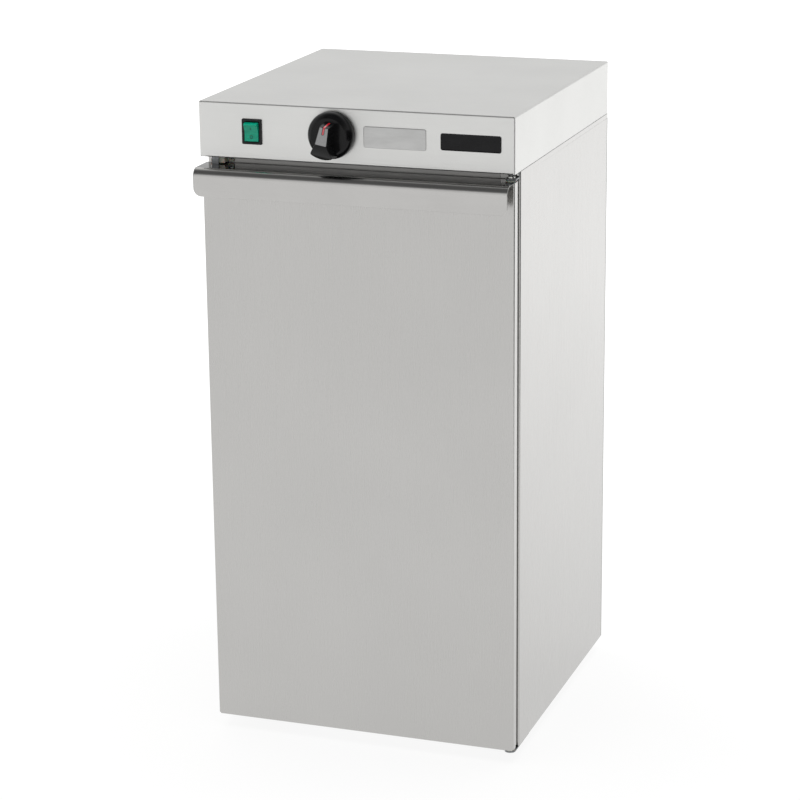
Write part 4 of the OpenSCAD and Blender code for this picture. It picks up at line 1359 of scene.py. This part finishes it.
class KNOB_OT_build(bpy.types.Operator):
    """Makes the thermostat knob, its pointer and its shaft"""

    bl_idname = "plate_warmer.knob"
    bl_label = "Thermostat knob"
    # the grip's face starts at its brow, brow_back short of the knob's reach, and leans out by slope for
    # each millimetre down from there
    slope, brow, brow_back = 0.1435, 14.4, 3.0

    def execute(self, context):
        low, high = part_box("knob")
        shaft = middle("thermostat_shaft")
        self.axis = Vector((shaft.x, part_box("top_cover")[0].y, shaft.z))
        self.turn = Matrix.Rotation(sizes().knob_turn, 3, "Y")
        self.reach_mm = (self.axis.y - low.y) / MM
        self.radius = high.x - shaft.x
        self.body()
        self.pointer()
        refine(zinc_plate(), sizes().edge, "thermostat_shaft")
        return {"FINISHED"}

    def at(self, x, out, up):
        """Point of the knob, out ahead of the cover's face, turned with the pointer."""
        return self.axis + self.turn @ Vector((x, -out, up))

    def face_out(self, up):
        """How far ahead of the cover the grip's face stands at a height, in millimetres."""
        return self.reach_mm - self.brow_back + self.slope * (self.brow - up)

    def body(self):
        """Skirt with a rounded side, turned, with the hand grip across it."""
        r = self.radius
        disc_r, disc = 22.3 * MM, 15.5 * MM
        bore, hub, hub_back = 3.05 * MM, 7 * MM, 4.5 * MM
        back, cavity, inside = 1 * MM, 9 * MM, r - 3 * MM
        profile = [(bore, cavity), (bore, hub_back), (hub, hub_back), (hub, cavity)]
        profile += [(inside, cavity), (inside, back), (r - 0.4 * MM, back)]
        for share in [i / 16 for i in range(1, 17)]:
            profile.append((r - (r - disc_r) * share**4, back + (disc - back) * share))
        profile += [(disc_r - 0.6 * MM, disc + 0.1 * MM), (0, disc + 0.2 * MM)]
        bm = bmesh.new()
        lathe(bm, profile, lambda a, b, h: self.at(a, h, b), 96)
        rod(bm, self.at(0, cavity - 0.2 * MM, 0), (0, 1, 0), bore + 0.05 * MM, 0.4 * MM, 48)
        turned = new_object("knob_skirt", bm, gloss_phenolic())
        ease(turned, 0.3 * MM, 2, angle=22)
        place(turned, "thermostat_knob", "knob_black", "knob")
        self.grip()

    def grip(self):
        """Hand grip, lofted from its pointer end down to its flared lobe, with the pointer's groove."""
        reach, base, flare = self.reach_mm, 12.0, 0.0837
        # millimetres: height at the base and at the front, half width at each, and how far out it stands
        stations = [(18.2, 14.9, 6.1, 5.4, reach - 3.7), (17.9, 14.5, 6.2, 5.9, reach - 3.05)]
        for up in (10.0, 4.0, -2.0, -5.8):
            half = 6.0 + flare * (self.brow - up)
            stations.append((up, up, half + 0.4, half, self.face_out(up)))
        # the lobe: height, half width and how far short of the reach
        for up, half, drop in (
            (-6.5, 7.8, 0.02),
            (-7.1, 8.0, 0.16),
            (-9.5, 9.2, 0.85),
            (-12.5, 10.6, 2.1),
            (-16.0, 12.3, 4.0),
            (-19.0, 13.7, 6.1),
            (-20.6, 14.2, 7.3),
            (-22.0, 14.3, 8.5),
            (-23.5, 12.2, 9.9),
            (-24.8, 9.3, 11.2),
            (-25.7, 6.4, 12.2),
            (-26.2, 4.0, 12.8),
            (-26.45, 1.6, 13.1),
        ):
            stations.append((up, up, half + 0.2, max(half - 0.5, 0.05), reach - drop))
        rows = []
        for low_up, high_up, half_base, half_front, out in stations:
            edge = min(0.8, half_front * 0.8)
            half = [(half_base, base), (half_base, base + 1.5)]
            half += arc((half_front - edge, out - edge), edge, 0, 90, 6)
            row = []
            for x, o in half + [(-x, o) for x, o in reversed(half)]:
                share = min(1.0, max(0.0, (o - base) / (out - base)))
                row.append(self.at(x * MM, o * MM, (low_up + (high_up - low_up) * share) * MM))
            rows.append(row)
        bm = bmesh.new()
        lay_faces(bm, rows, around=True, ends=True)
        grip = new_object("knob_grip", bm, gloss_phenolic())
        grip.data.materials.append(thumbed_phenolic())
        ahead = self.turn @ Vector((0, -1, self.slope)).normalized()
        for polygon in grip.data.polygons:
            polygon.material_index = int(polygon.normal.dot(ahead) > 0.998)
        drill(grip, self.ribbon(1.5, -0.7, 1.0))
        ease(grip, 0.35 * MM, 2, angle=38)
        place(grip, "thermostat_knob", "knob_black")

    def ribbon(self, half, sunk, proud):
        """Bar along the pointer's line: up the face, over the edge and down the grip's end."""
        # the line's lower end is rounded over the first 1.25 mm
        low_end, rounding, reach = 5.8, 1.25, self.reach_mm
        path = [(up, self.face_out(up)) for up in (low_end, 5.9, 6.15, 6.5, 7.05, 10.0, 13.6)]
        path += [(14.6, reach - 3.25), (15.2, reach - 4.6), (17.0, 20.3), (17.45, 17.2)]
        rows = []
        for i, (up, out) in enumerate(path):
            before, after = path[max(i - 1, 0)], path[min(i + 1, len(path) - 1)]
            run = Vector((after[0] - before[0], after[1] - before[1])).normalized()
            normal = Vector((-run.y, run.x))
            far = min(1.0, (up - low_end) / rounding)
            width = half * math.sqrt(max(1 - (1 - far) ** 2, 0.01))
            corners = ((width, sunk), (width, proud), (-width, proud), (-width, sunk))
            spots = [(x, out + normal.y * rise, up + normal.x * rise) for x, rise in corners]
            rows.append([self.at(x * MM, y * MM, z * MM) for x, y, z in spots])
        bm = bmesh.new()
        lay_faces(bm, rows, around=True, ends=True)
        bmesh.ops.recalc_face_normals(bm, faces=bm.faces)
        return bm

    def pointer(self):
        """Line of red filler in the groove, a little below the face."""
        pointer = new_object("pointer_line", self.ribbon(1.2, -0.75, -0.15), red_enamel())
        ease(pointer, 0.25 * MM, 3, angle=50)
        place(pointer, "thermostat_knob", "pointer_red", "knob_pointer")


class SWITCH_OT_build(bpy.types.Operator):
    """Makes the rocker switch: its housing, its green rocker and the on and off marks"""

    bl_idname = "plate_warmer.switch"
    bl_label = "Rocker switch"

    def execute(self, context):
        self.housing()
        self.rocker()
        return {"FINISHED"}

    def housing(self):
        """Bezel with a sloped frame round a deep well, and the snap-in body behind the panel."""
        low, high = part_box("switch_housing")
        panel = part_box("top_cover")[0].y
        centre = middle("switch_housing")
        width, height = high.x - low.x, high.z - low.z
        proud = panel - low.y
        well_w, well_h = 18.3 * MM, 23.8 * MM
        body_w, body_h, body_d = 21.6 * MM, 27.6 * MM, 28 * MM
        # width, height, corner radius and distance ahead of the panel of each loop, from the back round
        loops = [
            (body_w, body_h, 0.8 * MM, -body_d),
            (body_w, body_h, 0.8 * MM, -0.05 * MM),
            (width, height, 1.5 * MM, -0.02 * MM),
            (width, height, 1.5 * MM, proud - 0.7 * MM),
            (width - 0.5 * MM, height - 0.5 * MM, 1.3 * MM, proud - 0.2 * MM),
            (width - 1.3 * MM, height - 1.3 * MM, 1.0 * MM, proud),
            (well_w + 2.6 * MM, well_h + 2.6 * MM, 1.2 * MM, proud - 0.15 * MM),
            (well_w + 0.7 * MM, well_h + 0.7 * MM, 0.9 * MM, proud - 0.5 * MM),
            (well_w, well_h, 0.6 * MM, proud - 1.0 * MM),
            (well_w, well_h, 0.6 * MM, -9.5 * MM),
        ]
        bm = bmesh.new()
        rows = [
            [(centre.x + x, panel - out, centre.z + z) for x, z in rounded_loop(w, h, r)]
            for w, h, r, out in loops
        ]
        lay_faces(bm, rows, around=True, ends=True)
        housing = new_object("switch_frame", bm, filled_nylon())
        housing.data.set_sharp_from_angle(angle=math.radians(50))
        place(housing, "cabinet", "black_plastic", "switch_housing")
        bm = bmesh.new()
        back = panel + body_d
        for x in (-6.5, 6.5):
            for z in (-7, 5):
                block(
                    bm,
                    (centre.x + (x - 2.4) * MM, back, centre.z + (z - 0.4) * MM),
                    (centre.x + (x + 2.4) * MM, high.y, centre.z + (z + 0.4) * MM),
                )
        blades = new_object("switch_blades", bm, drawn_brass())
        ease(blades, sizes().edge)
        place(blades, "cabinet", "brass")

    def hollow(self, up):
        """How far ahead of the pivot the rocker's hollow face is at a height, in millimetres."""
        return 3.6 + 1.3 * (up / 6.6) ** 2

    def rocker(self):
        """Hollow-faced rocker at rest: its upper end out, with a bright ridge along each end."""
        joint = next(j for j in frame["joints"] if j["name"] == "rocker_tip")
        pivot = Vector(joint["pos_m"])
        tilt = Matrix.Rotation(math.radians(10), 3, "X")
        half = 17.7 / 2
        reach = 11.6
        # the face seen from the side, as (ahead of the pivot, up), from the upper end to the lower end
        face = [(5.2, 11.0), (5.7, 10.2), (5.75, 9.6), (5.3, 8.9), (4.9, 7.6)]
        face += [(self.hollow(up), up) for up in (5.5, 3.5, 1.5, 0, -1.5, -3.5, -5.5)]
        face += [(4.9, -7.6), (5.3, -8.9), (5.75, -9.6), (5.7, -10.2), (5.2, -11.0)]
        back = [(0, -reach), (-4.6, -8.4), (-6, -6), (-6, 6), (-4.6, 8.4), (0, reach)]
        outline = face + back

        def at(x, out, up):
            return pivot + tilt @ Vector((x * MM, -out * MM, up * MM))

        bm = bmesh.new()
        rows = [[at(x, out, up) for out, up in outline] for x in (half, -half)]
        lay_faces(bm, rows, around=True, ends=True)
        lens = new_object("rocker_lens", bm, green_lens())
        ease(lens, 0.45 * MM, 3, angle=50)
        place(lens, "power_rocker", "rocker_green", "rocker")
        self.marks(at)
        bm = bmesh.new()
        rod(bm, pivot, (1, 0, 0), 1.25 * MM, 2 * (half + 1.3) * MM, 24)
        pins = new_object("rocker_pivot", bm, filled_nylon())
        ease(pins, sizes().edge)
        place(pins, "power_rocker", "rocker_green")

    def marks(self, at):
        """I at the end that is pressed for on, and O at the end for off."""
        proud, sunk, half = 0.12, -0.3, 0.45
        bm = bmesh.new()
        rows = []
        for up in (6.6, 5.8, 5.0, 4.2, 3.4):
            corners = ((-half, sunk), (-half, proud), (half, proud), (half, sunk))
            rows.append([at(x, self.hollow(up) + lift, up) for x, lift in corners])
        lay_faces(bm, rows, around=True, ends=True)
        centre, outer, inner = -5.4, 2.1, 1.3
        rows = []
        for i in range(33):
            a = 2 * math.pi * i / 32
            ring = []
            for r, lift in ((inner, sunk), (inner, proud), (outer, proud), (outer, sunk)):
                x, up = r * math.cos(a), centre + r * math.sin(a)
                ring.append(at(x, self.hollow(up) + lift, up))
            rows.append(ring)
        lay_faces(bm, rows, around=True)
        marks = new_object("on_off_marks", bm, mark_ink())
        ease(marks, 0.05 * MM, 1, angle=50)
        place(marks, "power_rocker", "rocker_green")


class PLATES_OT_build(bpy.types.Operator):
    """Makes the two blank name plates"""

    bl_idname = "plate_warmer.plates"
    bl_label = "Name plates"

    def execute(self, context):
        self.plate("blank_silver_plate", "silver_plate", anodised_plate(), 0.0, 0.12)
        self.plate("blank_black_plate", "black_plate", lacquer_plate(), 0.55, 0.3)
        return {"FINISHED"}

    def plate(self, name, node, material, rim_mm, crown_mm):
        """Thin plate with round corners: an eased edge, a fine rim or none, and a slightly crowned face."""
        low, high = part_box(node)
        centre = middle(node)
        width, height, corner = high.x - low.x, high.z - low.z, 2.5 * MM
        thick = (high.y - low.y) / MM
        # (inset from the edge, height above the cover), in millimetres
        loops = [(0.0, 0.0), (0.0, thick - 0.35), (0.12, thick - 0.12), (0.4, thick - 0.02)]
        if rim_mm:
            loops += [(0.4 + rim_mm, thick - 0.02), (0.6 + rim_mm, thick - 0.22)]
        inset, out = loops[-1]
        for share in (0.15, 0.35, 0.6, 0.85, 1.0):
            rise = 0.6 * crown_mm * math.sin(share * math.pi / 2)
            loops.append((inset + share * 6.5, min(thick, out + rise)))
        bm = bmesh.new()
        rows = []
        for inset, out in loops:
            inset *= MM
            radius = max(corner - inset, 0.4 * MM)
            loop = rounded_loop(width - 2 * inset, height - 2 * inset, radius)
            rows.append([(centre.x + x, high.y - out * MM, centre.z + z) for x, z in loop])
        lay_faces(bm, rows, around=True, ends=True)
        plate = new_object(name, bm, material)
        plate.data.set_sharp_from_angle(angle=math.radians(55))
        place(plate, "cabinet", node, node)


# ------------------------------------------------------------------ inside and below


class CHAMBER_OT_build(bpy.types.Operator):
    """Finishes the chamber, its shelf, its guard and the heater"""

    bl_idname = "plate_warmer.chamber"
    bl_label = "Chamber and heater"

    def execute(self, context):
        liners = ("liner_left", "liner_right", "liner_back", "liner_ceiling", "liner_floor")
        refine(rolled_sheet(), sizes().edge, *liners)
        refine(rolled_sheet(), sizes().edge, "runners_left", "runners_right", "heater_guard")
        refine(zinc_plate(), sizes().edge, "element_brackets", "bulb_clip")
        wool = ("insulation_left", "insulation_right", "insulation_back", "insulation_top")
        dress(mineral_wool(), *wool, "insulation_bottom")
        self.shelf()
        self.element()
        return {"FINISHED"}

    def shelf(self):
        """Welded wire shelf, with its rim drawn round the corners."""
        low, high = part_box("wire_shelf")
        rim, bar = 3 * MM, 1.5 * MM
        centre = middle("wire_shelf")
        point = (centre.x, centre.y, low.z + rim)
        shelf = grow(
            "welded_wire_shelf",
            shelf_tree(),
            [point],
            polished_wire(),
            Width=high.x - low.x - 2 * rim,
            Depth=high.y - low.y - 2 * rim,
            Rim_radius=rim,
            Bar_radius=bar,
            Bars=17,
        )
        place(shelf, "cabinet", "bright_steel", "wire_shelf")

    def element(self):
        """Tubular element as one smooth bent tube."""
        low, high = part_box("heating_element")
        radius = (high.z - low.z) / 2
        z = (low.z + high.z) / 2
        pitch = (high.x - low.x - 2 * radius) / 3
        front = low.y + pitch / 2 + radius
        leads = 97 * MM  # from the rear bend back to the ends
        rear = high.y - leads
        outer = 1.5 * pitch
        path = [(-outer, high.y)]
        path += arc((-pitch, front), pitch / 2, 180, 360, 16)
        path += arc((0, rear), pitch / 2, 180, 0, 16)
        path += arc((pitch, front), pitch / 2, 180, 360, 16)
        path += [(outer, high.y)]
        rows = []
        for i, (x, y) in enumerate(path):
            before, after = path[max(i - 1, 0)], path[min(i + 1, len(path) - 1)]
            run = Vector((after[0] - before[0], after[1] - before[1], 0)).normalized()
            across = Vector((run.y, -run.x, 0))
            turns = [2 * math.pi * k / 20 for k in range(20)]
            ring = [across * math.cos(t) + Vector((0, 0, math.sin(t))) for t in turns]
            rows.append([Vector((x, y, z)) + radius * spoke for spoke in ring])
        bm = bmesh.new()
        lay_faces(bm, rows, around=True, ends=True)
        tube = new_object("bent_heating_tube", bm, heated_tube())
        tube.data.set_sharp_from_angle(angle=math.radians(50))
        place(tube, "cabinet", "dull_steel", "heating_element")


class ELECTRICS_OT_build(bpy.types.Operator):
    """Finishes what is under the cover and the cable gland at the back"""

    bl_idname = "plate_warmer.electrics"
    bl_label = "Electrics"

    def execute(self, context):
        refine(dull_steel(), 0.4 * MM, "thermostat_body")
        refine(natural_nylon(), 0.4 * MM, "terminal_block")
        refine(filled_nylon(), 0.3 * MM, "safety_cutout", "gland_nut")
        refine(drawn_brass(), sizes().edge, "earth_stud", "capillary_bulb")
        dress(wire_sleeve(), "wiring")
        self.gland()
        return {"FINISHED"}

    def gland(self):
        """Strain-relief gland: threaded neck, ribbed hexagon and a domed cap that grips the cable."""
        low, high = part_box("cable_gland")
        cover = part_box("top_cover")[1].y
        centre = ((low.x + high.x) / 2, (low.z + high.z) / 2)
        bore = 4.5 * MM

        def at(a, b, h):
            return (centre[0] + a, h, centre[1] + b)

        ridges, pitch, crest, root = 7, 1.3 * MM, 10.0 * MM, 9.4 * MM
        neck = []
        for i in range(ridges):
            y = low.y + 0.5 * MM + i * pitch
            neck += [(root, y), (crest, y + 0.45 * MM), (root, y + 0.9 * MM)]
        # (radius, distance behind the cover) in millimetres
        cap_mm = [(11.0, 6.4), (11.5, 7), (11.5, 15.5), (11.2, 17.6), (10.4, 19.6), (9.2, 21.2)]
        cap = [(r * MM, cover + out * MM) for r, out in cap_mm]
        cap += [(7.4 * MM, high.y - 0.1 * MM), (6.2 * MM, high.y), (5.2 * MM, high.y - 0.2 * MM)]
        profile = [(bore, low.y), (9.2 * MM, low.y)] + neck + [(9.6 * MM, cover)] + cap
        profile += [(bore, high.y - 1.2 * MM), (bore, low.y)]
        bm = bmesh.new()
        lathe(bm, profile, at, 60)
        gland = new_object("gland_body", bm, filled_nylon())
        gland.data.set_sharp_from_angle(angle=math.radians(40))
        place(gland, "cabinet", "black_plastic", "cable_gland")
        bm = bmesh.new()
        rows = []
        turns = [math.radians(60 * k) for k in range(6)]
        for radius, out in ((12.2, 0.0), (13.5, 0.5), (13.5, 5.5), (12.6, 6.0)):
            r, y = radius * MM, cover + out * MM
            rows.append([at(r * math.cos(a), r * math.sin(a), y) for a in turns])
        lay_faces(bm, rows, around=True, ends=True)
        nut = new_object("gland_hexagon", bm, filled_nylon())
        hole = bmesh.new()
        rod(hole, (centre[0], cover + 3 * MM, centre[1]), (0, 1, 0), 9.8 * MM, 20 * MM, 48)
        drill(nut, hole)
        ease(nut, 0.3 * MM)
        place(nut, "cabinet", "black_plastic")
        ribs = bmesh.new()
        count = 24
        for k in range(count):
            a = 2 * math.pi * k / count
            start = len(ribs.verts)
            low_corner = (11.2 * MM, cover + 7.6 * MM, -0.5 * MM)
            block(ribs, low_corner, (12.0 * MM, cover + 15.2 * MM, 0.5 * MM))
            ribs.verts.ensure_lookup_table()
            for vert in ribs.verts[start:]:
                x, z = vert.co.x, vert.co.z
                vert.co.x = centre[0] + x * math.cos(a) - z * math.sin(a)
                vert.co.z = centre[1] + x * math.sin(a) + z * math.cos(a)
        grips = new_object("gland_grip_ribs", ribs, filled_nylon())
        ease(grips, 0.2 * MM)
        place(grips, "cabinet", "black_plastic")


class FEET_OT_build(bpy.types.Operator):
    """Makes the four rubber feet"""

    bl_idname = "plate_warmer.feet"
    bl_label = "Feet"

    def execute(self, context):
        names = ("foot_front_left", "foot_front_right", "foot_rear_left", "foot_rear_right")
        bm = bmesh.new()
        for name in names:
            low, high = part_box(name)
            centre = middle(name)
            r, top = (high.x - low.x) / 2 / MM, (high.z - low.z) / MM
            # (radius, height) in millimetres, from the bolt's recess out and up
            profile = [(8, 0), (r - 1.6, 0), (r - 0.9, 0.15), (r - 0.3, 0.5), (r, 1.1), (r - 0.2, 2.2)]
            # two shallow grip rings, then the taper to the top
            for z in (5.0, 8.5):
                out = r - 2 * z / top
                deep = out - 0.5
                profile += [(out, z - 0.8), (deep, z - 0.3), (deep, z + 0.3), (out - 0.1, z + 0.8)]
            profile += [(r - 1.9, top - 0.7), (r - 2.2, top - 0.2), (r - 2.8, top)]
            profile += [(4, top), (4, 7), (8, 7), (8, 0)]
            points = [(a * MM, b * MM) for a, b in profile]
            lathe(bm, points, lambda a, b, h: (centre.x + a, centre.y + b, h), 56)
        feet = new_object("rubber_feet", bm, foot_rubber())
        feet.data.set_sharp_from_angle(angle=math.radians(45))
        place(feet, "cabinet", "rubber", *names)
        return {"FINISHED"}


# ------------------------------------------------------------------ panel and registration

OPERATORS = (
    STAGE_OT_build,
    CASING_OT_build,
    COVER_OT_build,
    DOOR_OT_build,
    FITTINGS_OT_build,
    KNOB_OT_build,
    SWITCH_OT_build,
    PLATES_OT_build,
    CHAMBER_OT_build,
    ELECTRICS_OT_build,
    FEET_OT_build,
)


class VIEW3D_PT_plate_warmer(bpy.types.Panel):
    """Sizes, colours and build steps of the cabinet"""

    bl_label = "Plate Warmer Cabinet"
    bl_idname = "VIEW3D_PT_plate_warmer"
    bl_space_type = "VIEW_3D"
    bl_region_type = "UI"
    bl_category = "Cabinet"

    def draw(self, context):
        scene = context.scene
        for group in (scene.cabinet_sizes, scene.cabinet_looks, scene.stage_settings):
            box = self.layout.box()
            for name in group.__annotations__:
                box.prop(group, name)
        for operator in OPERATORS:
            self.layout.operator(operator.bl_idname)


GROUPS = (
    ("cabinet_looks", CabinetLooks),
    ("cabinet_sizes", CabinetSizes),
    ("stage_settings", StageSettings),
)


def register():
    for name, group in GROUPS:
        bpy.utils.register_class(group)
        setattr(bpy.types.Scene, name, bpy.props.PointerProperty(type=group))
    for operator in OPERATORS:
        bpy.utils.register_class(operator)
    bpy.utils.register_class(VIEW3D_PT_plate_warmer)


def unregister():
    bpy.utils.unregister_class(VIEW3D_PT_plate_warmer)
    for operator in reversed(OPERATORS):
        bpy.utils.unregister_class(operator)
    for name, group in reversed(GROUPS):
        delattr(bpy.types.Scene, name)
        bpy.utils.unregister_class(group)


def main():
    register()
    for operator in OPERATORS:
        group, name = operator.bl_idname.split(".")
        getattr(getattr(bpy.ops, group), name)()
    boxes = {"cad": cad_box, "visual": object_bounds()}
    {k: [list(corner) for corner in box] for k, box in boxes.items()}


if __name__ == "__main__":
    main()
